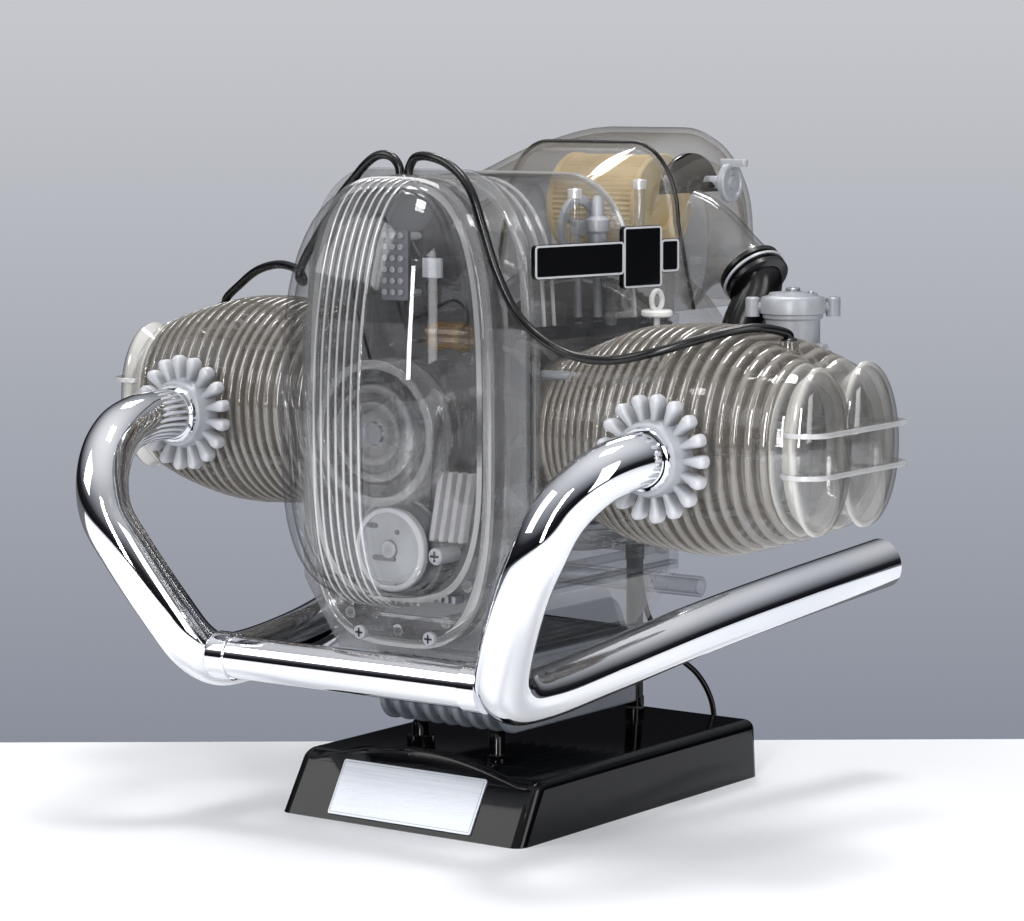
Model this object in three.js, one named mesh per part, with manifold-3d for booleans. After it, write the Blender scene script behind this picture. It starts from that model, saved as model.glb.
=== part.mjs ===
// Cutaway display model of a flat twin four stroke engine on its stand, half real size.
// Millimetres, +Z up, +X to the right cylinder, the engine's front faces -Y.
// The origin is at the middle of the stand's underside.
import * as THREE from 'three';
import { mergeVertices } from 'three/addons/utils/BufferGeometryUtils.js';
import Module from 'manifold-3d';

const wasm = await Module();
wasm.setup();

// Fits that many pieces share
const gap = 0.3;
const overrun = 1;
const weldDistance = 0.0002;

// Engine layout
const crankHeight = 144;
const camDrop = 42;
const boreDiameter = 45;
const stroke = 35.3;
const rodLength = 67.5;
const cylinderOffset = 25;
const rightCylinderSetback = 28.7;

// Stand
const standHalfWidth = 54.7;
const standHalfDepth = 79;
const standHeight = 22;
const standTopHalfWidth = 54;
const standTopFrontInset = 13;
const standTopRearInset = 0.6;
const standCorner = 5;
const standEdge = 3.6;
const standEdgeShare = 0.3;
const standWall = 2.6;
const standRibThickness = 6;
const ridgeHeight = 6.8;
const ridgeHalfLength = 46;
const ridgeDepth = 19;
const labelWidth = 64.6;
const labelHeight = 21.2;
const labelThickness = 1.1;
const labelRecess = 0.6;
const pegRadius = 3.1;
const pegSpacing = 35;
const pegFrontInset = 37.5;
const collarWidth = 1.8;
const collarHeight = 5;
const rearPostRadius = 3.7;
const rearPostInset = 5.5;

// Sump
const sumpHalfWidth = 28;
const sumpLength = 84;
const sumpSetback = 15;
const sumpGroundClearance = 32.8;
const sumpWall = 2.4;
const sumpCorner = 7;
const sumpRibHeight = 2.8;
const sumpRibThickness = 2.4;
const sumpRibCount = 8;

// Crankcase
const caseHalfWidth = 50.3;
const caseBottomDrop = 82;
const caseTopRise = 37.2;
const caseLength = 93.7;
const caseWall = 2.5;
const caseBottomHalfWidth = 34;
const caseKneeShare = 1.5;
const sideTubeRadius = 4;
const sideTubeBore = 2.8;
const sideTubeReach = 63;
const sideTubeDrop = 63;
const sideTubeInset = 4.6;
const fillerRadius = 5;
const fillerStandoff = 4;
const fillerLength = 40;
const fillerInset = 21;

// Timing case and front cover
const timingFrontY = -78;
const timingDepth = 12;
const timingHalfWidth = 41;
const timingTopRise = 89;
const timingBottomDrop = 77;
const coverHalfWidth = 38.3;
const coverTopRise = 88;
const coverBottomDrop = 61;
const coverDepth = 32.6;
const coverTopPower = 2.3;
const coverFootPower = 3;
const coverWall = 2.2;
const coverPoints = 18;
const coverRibCount = 7;
const coverRibPitch = 3.3;
const coverRibWidth = 1.4;
const coverRibHeight = 1.1;
const eggPower = 3.2;
const grommetRadius = 5.5;
const grommetRise = 1;

// Top cover and airbox
const topCoverRearY = 2;
const topCoverLipRise = 54.6;
const topCoverRise = 51.3;
const topCoverLip = 2.6;
const topCoverInset = 1.7;
const hoodWall = 2.2;
const airboxSeamY = 43;
const airboxRearY = 98;
const airboxBendY = 82;
const airboxSeamInset = 3.8;
const airboxBendInset = 3.3;
const airboxRearInset = 9.3;
const airboxSeamRise = 61.5;
const airboxBendRise = 66.6;
const airboxRearRise = 57;
const filterRadius = 19;
const filterLength = 41;
const filterPleats = 20;
const filterPleatDepth = 1.6;
const filterDropFromTop = 24;

// Bell housing and flywheel
const bellRadius = 55.5;
const bellDepth = 38;
const bellWall = 2.5;
const bellLugWidth = 14;
const bellLugHeight = 5;
const bellLugReach = 10;
const flywheelRadius = 49;
const flywheelThickness = 10;
const flywheelRimDepth = 4;
const flywheelFrontGap = 6;

// Crankshaft and camshaft
const journalRadius = 6;
const webThickness = 6;
const webRadius = 27;
const webHubRadius = 11;
const webSideClearance = 2.5;
const pinRadius = 5;
const noseRadius = 4;
const crankSprocketRadius = 8;
const sprocketThickness = 3;
const camRadius = 4;
const lobeBase = 0.7;
const lobeRise = 3.5;
const lobeWidth = 4;

// Generator and ignition
const statorOuterRadius = 26;
const statorInnerRadius = 18;
const statorDepth = 11;
const rotorDepth = 12;
const breakerRadius = 15.3;
const breakerThickness = 3;
const breakerSlotWidth = 2.6;
const breakerSlotShare = 0.55;

// Pistons and rods
const crownHeight = 17.85;
const crownThickness = 3;
const skirtLength = 12;
const skirtWall = 2.4;
const wristPinRadius = 3;
const rodThickness = 7;
const rodWidth = 6.5;
const bigEndRadius = 9.5;
const smallEndRadius = 6;

// Cylinder, head and valve cover
const deckClearance = 3;
const linerWall = 2.2;
const spigotLength = 6;
const finFootClearance = 2.2;
const finMaxRadius = 40;
const finThickness = 1.7;
const finPitch = 10.4;
const headLength = 43.7;
const headCoreInset = 2.2;
const headWidthShareTable = [[0, 1], [0.54, 1], [0.7, 0.96], [0.8, 0.9], [0.88, 0.82], [1, 0.75]];
const valleyDepthShareTable = [[0, 0], [0.6, 0], [0.75, 0.5], [0.9, 1], [1, 1]];
const valleyDepth = 6;
const valleyHalfWidth = 8;
const headPower = 2.3;
const chamberHeight = 15;
const rockerBoxDepth = 21;
const rockerBoxWall = 4.8;
const portRadius = 6.5;
const portOffset = 8.2;
const exhaustBossRadius = 12;
const exhaustBossReach = 7;
const intakeBossReach = 0.6;
const portDrop = 1.7;
const intakeBossRadius = 9;
const intakeRise = 12;
const plugBossRadius = 3.4;
const plugBossRise = 1.6;
const plugX = 136.3;
const plugSide = 1.8;
const coverBlockDepth = 8;
const lobeSpacing = 32.6;
const lobeLength = 9;
const lobeHalfWidth = 16;
const lobeHalfHeight = 26;
const lobeRoundShare = 0.55;
const lobePower = 2.6;
const lobeLiftShares = [0.5, 0.86, 0.99];
const valveCoverWall = 2;
const railSpacing = 14;
const railThickness = 1.8;
const railReach = 1;

// Valve gear, measured from the cylinder's axis
const rockerSide = 12.8;
const rockerPushArm = 9;
const rockerValveArm = 11;
const rockerHubRadius = 3;
const rockerShaftRadius = 1.5;
const rockerHubBottom = -21;
const rockerHubTop = 6;
const rockerTipRadius = 2;
const rockerArmWidth = 3;
const rockerOverhang = 0.7;
const bracketThickness = 3;
const pushrodRadius = 1.6;
const pushrodTopDrop = 19;
const tappetRadius = 2.8;
const tappetLength = 7;
const tappetClearance = 0.8;
const valveTilt = THREE.MathUtils.degToRad(20.6);
const valveLength = 37;
const valveStemRadius = 1.5;
const valveHeadRadius = 7.6;
const valveHeadThickness = 1.4;
const valveConeHeight = 3;
const retainerRadius = 3.6;
const retainerThickness = 2;

// Exhaust
const headerRadius = 9.5;
const headerWall = 1.3;
const headerReach = 125;
const headerDrop = 86.5;
const headerSides = 10;
const headerSteps = 22;
const nutTipRadius = 21.7;
const nutRootRadius = 14.5;
const nutThickness = 7;
const nutFinCount = 17;
const nutFinShare = 0.42;
const nutRootShare = 0.8;
const nutSeatDepth = 3;
const nutBoreClearance = 1;
const crossPipeRadius = 7.8;
const crossPipeRise = 4;
const crossPipeSetback = 20.3;
const crossPipeHalfLength = 60;
const crossSleeveLength = 7;
const crossSleeveHeight = 0.9;

// Induction, measured from the right cylinder's axis
const carbX = 105;
const carbY = 55.4;
const carbBottom = 4;
const carbTop = 38.5;
const carbRadius = 9.8;
const carbCapRadius = 11.8;
const carbCapHeight = 8;
const carbCapDome = 2.6;
const carbFootShare = 0.7;
const carbDomeShare = 0.75;
const carbOutletShares = [0.5, 0.6];
const carbEarLength = 5;
const carbEarHeight = 4;
const carbEarTurn = THREE.MathUtils.degToRad(36);
const carbInletRadius = 8;
const carbInletHeight = 22;
const carbOutletRadius = 7.5;
const bootRadius = 9.5;
const bootWall = 2;
const bootRingRadius = 12;
const bootRingWidth = 8;
const bootBendShare = 0.6;
const bootSides = 8;
const bootSteps = 5;
const ductTop = new THREE.Vector3(38, 86.5, 58.5);
const ductEnd = new THREE.Vector3(79.3, 66.5, 54.8);
const ductFacing = new THREE.Vector3(0.72, -0.22, -0.66);
const ductMouthHalfHeight = 24;
const ductMouthHalfDepth = 10;
const ductEndRadius = 10.4;
const ductWall = 1.6;
const ductOverrunShare = 0.04;

// Badge, choke lever and dipstick
const badgeLength = 70;
const badgeHeight = 12;
const badgeThickness = 2;
const badgeBlockLength = 19;
const badgeBlockHeight = 22;
const badgeBlockShare = 0.24;
const badgeHeightAboveCrank = 60.6;
const badgeMiddleY = -34;
const badgeTurn = THREE.MathUtils.degToRad(12);
const badgeStubRadius = 2.6;
const badgeStubSpread = 24;
const badgeStandoff = 2.6;
const chokeY = 65.5;
const chokeHeight = 84;
const chokeDiscRadius = 7.4;
const chokeDiscThickness = 3;
const chokeHubRadius = 4;
const chokeHubLength = 2.4;
const chokeShaftRadius = 2.4;
const chokeShaftLength = 9;
const chokeBarLength = 12;
const chokeBarThickness = 3;
const dipstickDiscRadius = 5.8;
const dipstickDiscThickness = 2.4;
const dipstickRingRadius = 3.4;
const dipstickRingWire = 1;
const dipstickRodRadius = 1.2;
const dipstickRodLength = 36;

// Leads
const leadRadius = 1.6;
const leadSides = 6;
const leadSteps = 28;
const leadSpacing = 3.8;
const powerLeadRadius = 1.1;
const powerLeadSteps = 18;

// Places that follow from the sizes above
const caseTop = crankHeight + caseTopRise;
const caseBottom = crankHeight - caseBottomDrop;
const sideTubeHeight = crankHeight - sideTubeDrop;
const topCoverHalfWidth = caseHalfWidth - topCoverInset;
const airboxSeamHalfWidth = caseHalfWidth - airboxSeamInset;
const airboxBendHalfWidth = caseHalfWidth - airboxBendInset;
const airboxRearHalfWidth = caseHalfWidth - airboxRearInset;
const crankRadius = stroke / 2;
const boreRadius = boreDiameter / 2;
const linerRadius = boreRadius + linerWall;
const timingRearY = timingFrontY + timingDepth;
const caseFrontY = timingRearY + gap;
const caseRearY = caseFrontY + caseLength;
const rightCylinderY = caseFrontY + rightCylinderSetback;
const leftCylinderY = rightCylinderY + cylinderOffset;
const pistonPinX = crankRadius + rodLength;
const crownX = pistonPinX + crownHeight;
const barrelEnd = crownX + deckClearance;
const headStart = barrelEnd + gap;
const headEnd = headStart + headLength;
const coverStart = headEnd + gap;
const coverTip = coverStart + coverBlockDepth + lobeLength;
const finFoot = caseHalfWidth + finFootClearance;
const portX = headStart + portOffset;
const exhaustFaceY = -finMaxRadius;
const hoodBottom = caseTop + gap;
const manySides = 24;
const sides = 16;
const fewSides = 12;
const holeSides = 8;
const leastSides = 6;
const eggSides = 28;
const headSides = 14;

// Helpers that turn three.js geometry into closed solids and back
function signedVolume(positions, index) {
  const a = new THREE.Vector3();
  const b = new THREE.Vector3();
  const c = new THREE.Vector3();
  let volume = 0;
  for (let i = 0; i < index.length; i += 3) {
    a.fromArray(positions, 3 * index[i]);
    b.fromArray(positions, 3 * index[i + 1]);
    c.fromArray(positions, 3 * index[i + 2]);
    volume += a.dot(b.cross(c));
  }
  return volume;
}

function solid(geometry) {
  const bare = geometry.clone();
  bare.deleteAttribute('normal');
  bare.deleteAttribute('uv');
  const welded = mergeVertices(bare, weldDistance);
  const positions = Float32Array.from(welded.attributes.position.array);
  const source = welded.index.array;
  const kept = [];
  for (let i = 0; i < source.length; i += 3) {
    const [a, b, c] = [source[i], source[i + 1], source[i + 2]];
    if (a !== b && b !== c && c !== a) kept.push(a, b, c);
  }
  if (signedVolume(positions, kept) < 0) {
    for (let i = 0; i < kept.length; i += 3) [kept[i], kept[i + 1]] = [kept[i + 1], kept[i]];
  }
  const mesh = new wasm.Mesh({ numProp: 3, vertProperties: positions, triVerts: Uint32Array.from(kept) });
  return new wasm.Manifold(mesh);
}

function geometryOf(body, mirrored) {
  const data = body.getMesh();
  const positions = Float32Array.from(data.vertProperties);
  const index = Array.from(data.triVerts);
  if (mirrored) {
    for (let i = 0; i < positions.length; i += 3) positions[i] = -positions[i];
    for (let i = 0; i < index.length; i += 3) [index[i], index[i + 1]] = [index[i + 1], index[i]];
  }
  const geometry = new THREE.BufferGeometry();
  geometry.setAttribute('position', new THREE.BufferAttribute(positions, 3));
  geometry.setIndex(index);
  geometry.computeVertexNormals();
  return geometry;
}

function join(...bodies) {
  return bodies.reduce((whole, body) => whole.add(body));
}

function cut(body, ...tools) {
  return tools.reduce((whole, tool) => whole.subtract(tool), body);
}

// Basic shapes, each already turned and placed
const turnTo = {
  x: (geometry) => geometry.rotateZ(-Math.PI / 2),
  y: (geometry) => geometry,
  z: (geometry) => geometry.rotateX(Math.PI / 2),
};
const planeTo = {
  x: new THREE.Matrix4().makeBasis(new THREE.Vector3(0, 1, 0), new THREE.Vector3(0, 0, 1),
    new THREE.Vector3(1, 0, 0)),
  y: new THREE.Matrix4().makeBasis(new THREE.Vector3(-1, 0, 0), new THREE.Vector3(0, 0, 1),
    new THREE.Vector3(0, 1, 0)),
  z: new THREE.Matrix4(),
};

function block(x0, x1, y0, y1, z0, z1) {
  const box = new THREE.BoxGeometry(x1 - x0, y1 - y0, z1 - z0);
  return solid(box.translate((x0 + x1) / 2, (y0 + y1) / 2, (z0 + z1) / 2));
}

// A solid of revolution: the profile is a closed list of radius and place along the axis
function turned(profile, axis, centre = [0, 0, 0], count = sides) {
  const points = profile.map(([radius, along]) => new THREE.Vector2(radius, along));
  points.push(points[0].clone());
  const lathe = new THREE.LatheGeometry(points, count);
  return solid(turnTo[axis](lathe).translate(...centre));
}

function rod(radius, from, to, axis, centre = [0, 0, 0], count = sides) {
  return turned([[0, from], [radius, from], [radius, to], [0, to]], axis, centre, count);
}

function ring(outer, inner, from, to, axis, centre, count = sides) {
  return turned([[inner, from], [outer, from], [outer, to], [inner, to]], axis, centre, count);
}

// A flat outline pushed along an axis; on y the outline's first coordinate is X
function slab(outline, axis, from, to) {
  const flip = axis === 'y' ? -1 : 1;
  const shape = new THREE.Shape(outline.map(([u, v]) => new THREE.Vector2(flip * u, v)));
  const extrusion = new THREE.ExtrudeGeometry(shape, { depth: to - from, bevelEnabled: false });
  extrusion.translate(0, 0, from);
  return solid(extrusion.applyMatrix4(planeTo[axis]));
}

// A straight round bar between two points
function bar(radius, from, to, count = sides) {
  const along = new THREE.Vector3().subVectors(to, from);
  const cylinder = new THREE.CylinderGeometry(radius, radius, along.length(), count);
  cylinder.translate(0, along.length() / 2, 0);
  const turn = new THREE.Quaternion().setFromUnitVectors(new THREE.Vector3(0, 1, 0), along.normalize());
  return solid(cylinder.applyQuaternion(turn).translate(from.x, from.y, from.z));
}

// A round bar that follows a smooth curve, hollow when a bore is given
function pipe(radius, points, count, steps, bore = 0) {
  const curve = new THREE.CatmullRomCurve3(points.map((point) => new THREE.Vector3(...point)));
  const circle = (size, number) => Array.from({ length: number }, (_, i) => new THREE.Vector2(
    size * Math.cos(2 * Math.PI * i / number), size * Math.sin(2 * Math.PI * i / number)));
  const section = new THREE.Shape(circle(radius, count));
  if (bore > 0) section.holes.push(new THREE.Path(circle(bore, leastSides)));
  return solid(new THREE.ExtrudeGeometry(section, { extrudePath: curve, steps }));
}

// A skin over rings of equal point count, closed at both ends
function loft(rings) {
  const count = rings[0].length;
  const positions = rings.flat().flat();
  const index = [];
  for (let r = 0; r < rings.length - 1; r += 1) {
    for (let i = 0; i < count; i += 1) {
      const a = r * count + i;
      const b = r * count + (i + 1) % count;
      index.push(a, b, b + count, a, b + count, a + count);
    }
  }
  for (const ring of [0, rings.length - 1]) {
    const centre = rings[ring].reduce((sum, point) => sum.map((value, k) => value + point[k] / count), [0, 0, 0]);
    positions.push(...centre);
    const hub = positions.length / 3 - 1;
    for (let i = 0; i < count; i += 1) {
      const a = ring * count + i;
      const b = ring * count + (i + 1) % count;
      index.push(...(ring === 0 ? [hub, b, a] : [hub, a, b]));
    }
  }
  const geometry = new THREE.BufferGeometry();
  geometry.setAttribute('position', new THREE.Float32BufferAttribute(positions, 3));
  geometry.setIndex(index);
  return solid(geometry);
}

// Outlines
function roundedBox(x0, x1, y0, y1, corner, perCorner = 4) {
  const points = [];
  const centres = [[x1 - corner, y1 - corner], [x0 + corner, y1 - corner],
    [x0 + corner, y0 + corner], [x1 - corner, y0 + corner]];
  centres.forEach(([cx, cy], quarter) => {
    for (let i = 0; i <= perCorner; i += 1) {
      const angle = (quarter + i / perCorner) * Math.PI / 2;
      points.push([cx + corner * Math.cos(angle), cy + corner * Math.sin(angle)]);
    }
  });
  return points;
}

// A rounded outline between an ellipse and a box: the higher the power, the squarer
function rounded(halfWidth, rise, drop, power, count) {
  const points = [];
  for (let i = 0; i < count; i += 1) {
    const angle = 2 * Math.PI * i / count;
    const c = Math.cos(angle);
    const s = Math.sin(angle);
    const height = s > 0 ? rise : drop;
    points.push([Math.sign(c) * halfWidth * Math.abs(c) ** (2 / power),
      Math.sign(s) * height * Math.abs(s) ** (2 / power)]);
  }
  return points;
}

function egg(halfWidth, rise, drop, count = eggSides) {
  return rounded(halfWidth, rise, drop, eggPower, count).map(([x, z]) => [x, z + crankHeight]);
}

function ellipse(halfWidth, halfHeight, count = sides) {
  return rounded(halfWidth, halfHeight, halfHeight, 2, count);
}

function readTable(table, share) {
  for (let i = 1; i < table.length; i += 1) {
    const [end, high] = table[i];
    const [start, low] = table[i - 1];
    if (share <= end) return THREE.MathUtils.mapLinear(share, start, end, low, high);
  }
  return table.at(-1)[1];
}

// Finishes
function finish(color, roughness, metalness, opacity = 1) {
  const settings = { color, roughness, metalness, opacity, transparent: opacity < 1 };
  return new THREE.MeshStandardMaterial(settings);
}
const finishes = {
  clear: finish(0xb9b6b0, 0.12, 0, 0.35),
  smoke: finish(0x9a938a, 0.15, 0, 0.5),
  chrome: finish(0xe6e8ea, 0.06, 1),
  silver: finish(0xb8bbbf, 0.4, 0.2),
  steel: finish(0xa6a9ad, 0.3, 0.8),
  black: finish(0x0b0c0e, 0.12, 0),
  rubber: finish(0x15161a, 0.6, 0),
  grey: finish(0x7b7e83, 0.5, 0),
  cream: finish(0xe8cf94, 0.8, 0),
  white: finish(0xeeeeec, 0.4, 0),
  label: finish(0xb9b9bb, 0.35, 0.6),
};

const engine = new THREE.Group();

function add(parent, name, body, material, mirrored = false) {
  const mesh = new THREE.Mesh(geometryOf(body, mirrored), finishes[material]);
  mesh.name = name;
  parent.add(mesh);
  return mesh;
}

// Stand
const standTopFrontY = -standHalfDepth + standTopFrontInset;
const standTopRearY = standHalfDepth - standTopRearInset;
const standSlope = Math.atan2(standTopFrontInset, standHeight);
const pegY = -standHalfDepth + pegFrontInset;
const rearPostY = standHalfDepth - rearPostInset;
const sumpTop = caseBottom - gap;
const pegTop = sumpGroundClearance - gap;

function standRing(height, inset) {
  const share = height / standHeight;
  const halfWidth = THREE.MathUtils.lerp(standHalfWidth, standTopHalfWidth, share) - inset;
  const front = -standHalfDepth + standTopFrontInset * share + inset;
  const rear = standHalfDepth - standTopRearInset * share - inset;
  const corner = Math.max(standCorner - inset, standWall / 2);
  const outline = roundedBox(-halfWidth, halfWidth, front, rear, corner, 3);
  return outline.map(([x, y]) => [x, y, height]);
}

// A low wave along the front edge, highest at the middle and running out behind
function standRidge() {
  const steps = 10;
  const floor = standHeight - standEdge - overrun;
  const rings = [];
  for (let i = 0; i <= steps; i += 1) {
    const across = 2 * i / steps - 1;
    const crest = standHeight - standEdge / 2 + ridgeHeight * Math.cos(across * Math.PI / 2);
    const x = across * ridgeHalfLength;
    const faceAt = (height) => -standHalfDepth + height * Math.tan(standSlope);
    const back = faceAt(standHeight) + ridgeDepth;
    rings.push([[x, faceAt(floor), floor], [x, faceAt(crest), crest],
      [x, faceAt(crest) + standEdge, crest - gap], [x, back, standHeight - gap], [x, back, floor]]);
  }
  return loft(rings);
}

function standShell() {
  const outer = loft([standRing(0, 0), standRing(standHeight - standEdge, 0),
    standRing(standHeight - standEdge * standEdgeShare, standEdge * standEdgeShare), standRing(standHeight, standEdge)]);
  const inner = loft([standRing(-overrun, standWall), standRing(standHeight - standWall, standWall)]);
  const recess = new THREE.BoxGeometry(labelWidth + 2 * gap, 2 * labelRecess, labelHeight + 2 * gap);
  const pegs = [-1, 1].map((side) => rod(pegRadius, standHeight - overrun, pegTop, 'z',
    [side * pegSpacing / 2, pegY, 0]));
  const shell = cut(join(outer, standRidge(), ...pegs), inner, solid(placeOnSlope(recess, 0)));
  const reach = standTopHalfWidth - standWall / 2;
  const rib = block(-reach, reach, -standRibThickness / 2, standRibThickness / 2, 0, standHeight - standWall / 2);
  return join(shell, rib);
}

// Lays a flat piece on the sloping front, its middle at the given distance outside the face
function placeOnSlope(geometry, outside) {
  const middle = standHeight / 2;
  geometry.rotateX(-standSlope);
  const y = -standHalfDepth + middle * Math.tan(standSlope) - outside * Math.cos(standSlope);
  return geometry.translate(0, y, middle + outside * Math.sin(standSlope));
}

function labelPlate() {
  const plate = new THREE.BoxGeometry(labelWidth, labelThickness, labelHeight);
  return solid(placeOnSlope(plate, gap - labelRecess + labelThickness / 2));
}

add(engine, 'stand_shell', standShell(), 'black');
add(engine, 'label_plate', labelPlate(), 'label');
add(engine, 'peg_collar', ring(pegRadius + gap + collarWidth, pegRadius + gap, standHeight + gap,
  standHeight + gap + collarHeight, 'z', [-pegSpacing / 2, pegY, 0]), 'black');

// Sump
const sumpFrontY = caseFrontY + sumpSetback;
const sumpRearY = sumpFrontY + sumpLength;

function sumpOutline(grow) {
  const low = sumpGroundClearance + sumpRibHeight - grow;
  const corner = Math.min(sumpCorner + grow, (sumpTop - low) / 2);
  const front = sumpFrontY - grow;
  const points = [[sumpRearY, sumpTop], [front, sumpTop]];
  for (let i = 0; i <= 3; i += 1) {
    const angle = Math.PI + (i / 3) * Math.PI / 2;
    points.push([front + corner + corner * Math.cos(angle), low + corner + corner * Math.sin(angle)]);
  }
  points.push([sumpRearY, low]);
  return points;
}

function sump() {
  const tub = slab(sumpOutline(0), 'x', -sumpHalfWidth, sumpHalfWidth);
  const pitch = (2 * sumpHalfWidth - sumpRibThickness) / (sumpRibCount - 1);
  const ribs = [];
  for (let i = 0; i < sumpRibCount; i += 1) {
    const start = -sumpHalfWidth + i * pitch;
    ribs.push(slab(sumpOutline(sumpRibHeight), 'x', start, start + sumpRibThickness));
  }
  const floor = sumpGroundClearance + sumpRibHeight + sumpWall;
  const hollow = block(-sumpHalfWidth + sumpWall, sumpHalfWidth - sumpWall, sumpFrontY + sumpWall,
    sumpRearY - sumpWall, floor, sumpTop + overrun);
  return cut(join(tub, ...ribs), hollow);
}
add(engine, 'oil_sump', sump(), 'grey');

// Crankcase
function caseOutline(inset) {
  const low = caseBottom + inset;
  const knee = caseBottom + (caseHalfWidth - caseBottomHalfWidth) * caseKneeShare;
  const wide = caseHalfWidth - inset;
  return [[wide, caseTop - inset], [-wide, caseTop - inset], [-wide, knee],
    [-caseBottomHalfWidth + inset / 2, low], [caseBottomHalfWidth - inset / 2, low], [wide, knee]];
}

const camHeight = crankHeight - camDrop;
const pushrodStart = new THREE.Vector3(camRadius + lobeBase + lobeRise + tappetClearance, 0, -camDrop);
const rockerX = headEnd + rockerOverhang;
const pushrodStop = new THREE.Vector3(rockerX - rockerTipRadius - gap, 0, -pushrodTopDrop);
const pushrodLine = new THREE.Vector3().subVectors(pushrodStop, pushrodStart).normalize();
const pushrodSide = rockerSide - rockerPushArm;

function pushrodHole(grow, y, mirror) {
  const from = pushrodStart.clone();
  const to = pushrodStop.clone().addScaledVector(pushrodLine, lobeRise);
  from.y = y;
  to.y = y;
  from.x *= mirror;
  to.x *= mirror;
  return bar(pushrodRadius + grow, from, to, leastSides);
}

function placed(body, y) {
  const geometry = geometryOf(body, false);
  return solid(geometry.translate(0, y, crankHeight));
}

function crankcase() {
  const outer = slab(caseOutline(0), 'y', caseFrontY, caseRearY);
  const inner = slab(caseOutline(caseWall), 'y', caseFrontY - overrun, caseRearY - caseWall);
  const sumpMouth = block(-sumpHalfWidth + sumpWall, sumpHalfWidth - sumpWall, sumpFrontY + sumpWall,
    caseRearY - caseWall, caseBottom - overrun, caseBottom + 2 * caseWall);
  const bores = [];
  for (const [side, y] of [[1, rightCylinderY], [-1, leftCylinderY]]) {
    const from = Math.min(side * (caseHalfWidth - 2 * caseWall), side * (caseHalfWidth + overrun));
    const to = Math.max(side * (caseHalfWidth - 2 * caseWall), side * (caseHalfWidth + overrun));
    bores.push(rod(linerRadius + gap, from, to, 'x', [0, y, crankHeight]));
    for (const half of [-1, 1]) {
      const hole = pushrodHole(2 * gap, half * pushrodSide, side);
      bores.push(placed(hole, y));
    }
  }
  const bearing = rod(journalRadius + gap, caseRearY - 2 * caseWall, caseRearY + overrun, 'y',
    [0, 0, crankHeight]);
  const tubeY = caseRearY - sideTubeInset;
  const tube = rod(sideTubeRadius, -sideTubeReach, sideTubeReach, 'x', [0, tubeY, sideTubeHeight]);
  const tubeBore = rod(sideTubeBore, -sideTubeReach - overrun, sideTubeReach + overrun, 'x',
    [0, tubeY, sideTubeHeight]);
  const filler = fillerPlace();
  const neck = rod(fillerRadius, caseTop - fillerLength, caseTop, 'z', filler);
  const well = rod(dipstickRodRadius + 2 * gap, caseTop - fillerLength + caseWall, caseTop + overrun, 'z',
    filler, holeSides);
  const shell = cut(outer, inner, sumpMouth, ...bores, bearing);
  return cut(join(shell, tube, camBearing(), neck), tubeBore, well);
}

function fillerPlace() {
  return [caseHalfWidth + fillerStandoff, caseRearY - fillerInset, 0];
}

// The cam's rear end runs in a boss that stands on the rear wall
const camRearY = leftCylinderY + pushrodSide + 3 * lobeWidth;
function camBearing() {
  const back = caseRearY - caseWall / 2;
  const boss = rod(camRadius + gap + caseWall, camRearY - 2 * caseWall, back, 'y', [0, 0, camHeight]);
  const seat = rod(camRadius + gap, camRearY - 3 * caseWall, camRearY + gap, 'y', [0, 0, camHeight]);
  return cut(boss, seat);
}

add(engine, 'crankcase', crankcase(), 'clear');

// Timing case with the bearing plate behind and the generator's ring in front
function timingCase() {
  const shell = slab(egg(timingHalfWidth, timingTopRise, timingBottomDrop), 'y', timingFrontY, timingRearY);
  const hollow = slab(egg(timingHalfWidth - caseWall, timingTopRise - caseWall, timingBottomDrop - caseWall),
    'y', timingFrontY - overrun, timingRearY - caseWall);
  const plate = slab(caseOutline(0), 'y', timingRearY - caseWall, timingRearY);
  const crankHole = rod(journalRadius + gap, timingFrontY, timingRearY + overrun, 'y', [0, 0, crankHeight]);
  const camHole = rod(camRadius + gap, timingFrontY, timingRearY + overrun, 'y', [0, 0, camHeight]);
  const seat = ring(statorOuterRadius, statorOuterRadius - caseWall, timingRearY - caseWall, statorFrontY(),
    'y', [0, 0, crankHeight]);
  const camWindow = rod(camSprocketRadius + 2 * gap, timingFrontY - overrun, timingRearY - caseWall, 'y',
    [0, 0, camHeight]);
  const boss = rod(grommetRadius, crankHeight + timingTopRise - 2 * caseWall,
    crankHeight + timingTopRise + grommetRise, 'z', [0, timingFrontY + timingDepth / 2, 0], fewSides);
  return join(cut(join(cut(shell, hollow), plate), crankHole, camHole), cut(seat, camWindow), boss);
}

const camSprocketRadius = 2 * crankSprocketRadius;
function statorFrontY() {
  return timingFrontY - overrun;
}
add(engine, 'timing_case', timingCase(), 'clear');

// Front cover: a ribbed dome, squarer at its foot than at its top
function domeRing(depthShare, grow) {
  const y = timingFrontY - gap - depthShare * (coverDepth + grow);
  const topShare = (1 - depthShare ** coverTopPower) ** (1 / coverTopPower);
  const footShare = (1 - depthShare ** coverFootPower) ** (1 / coverFootPower);
  const rise = (coverTopRise + grow) * topShare;
  const drop = (coverBottomDrop + grow) * footShare;
  return egg((coverHalfWidth + grow) * footShare, rise, drop, coverPoints).map(([x, z]) => [x, y, z]);
}
const domeShares = [0, 0.45, 0.76, 0.93, 0.997];

function dome(grow, lead = 0) {
  const rings = domeShares.map((share) => domeRing(share, grow));
  if (lead > 0) rings.unshift(rings[0].map(([x, y, z]) => [x, y + lead, z]));
  return loft(rings.reverse());
}

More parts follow.
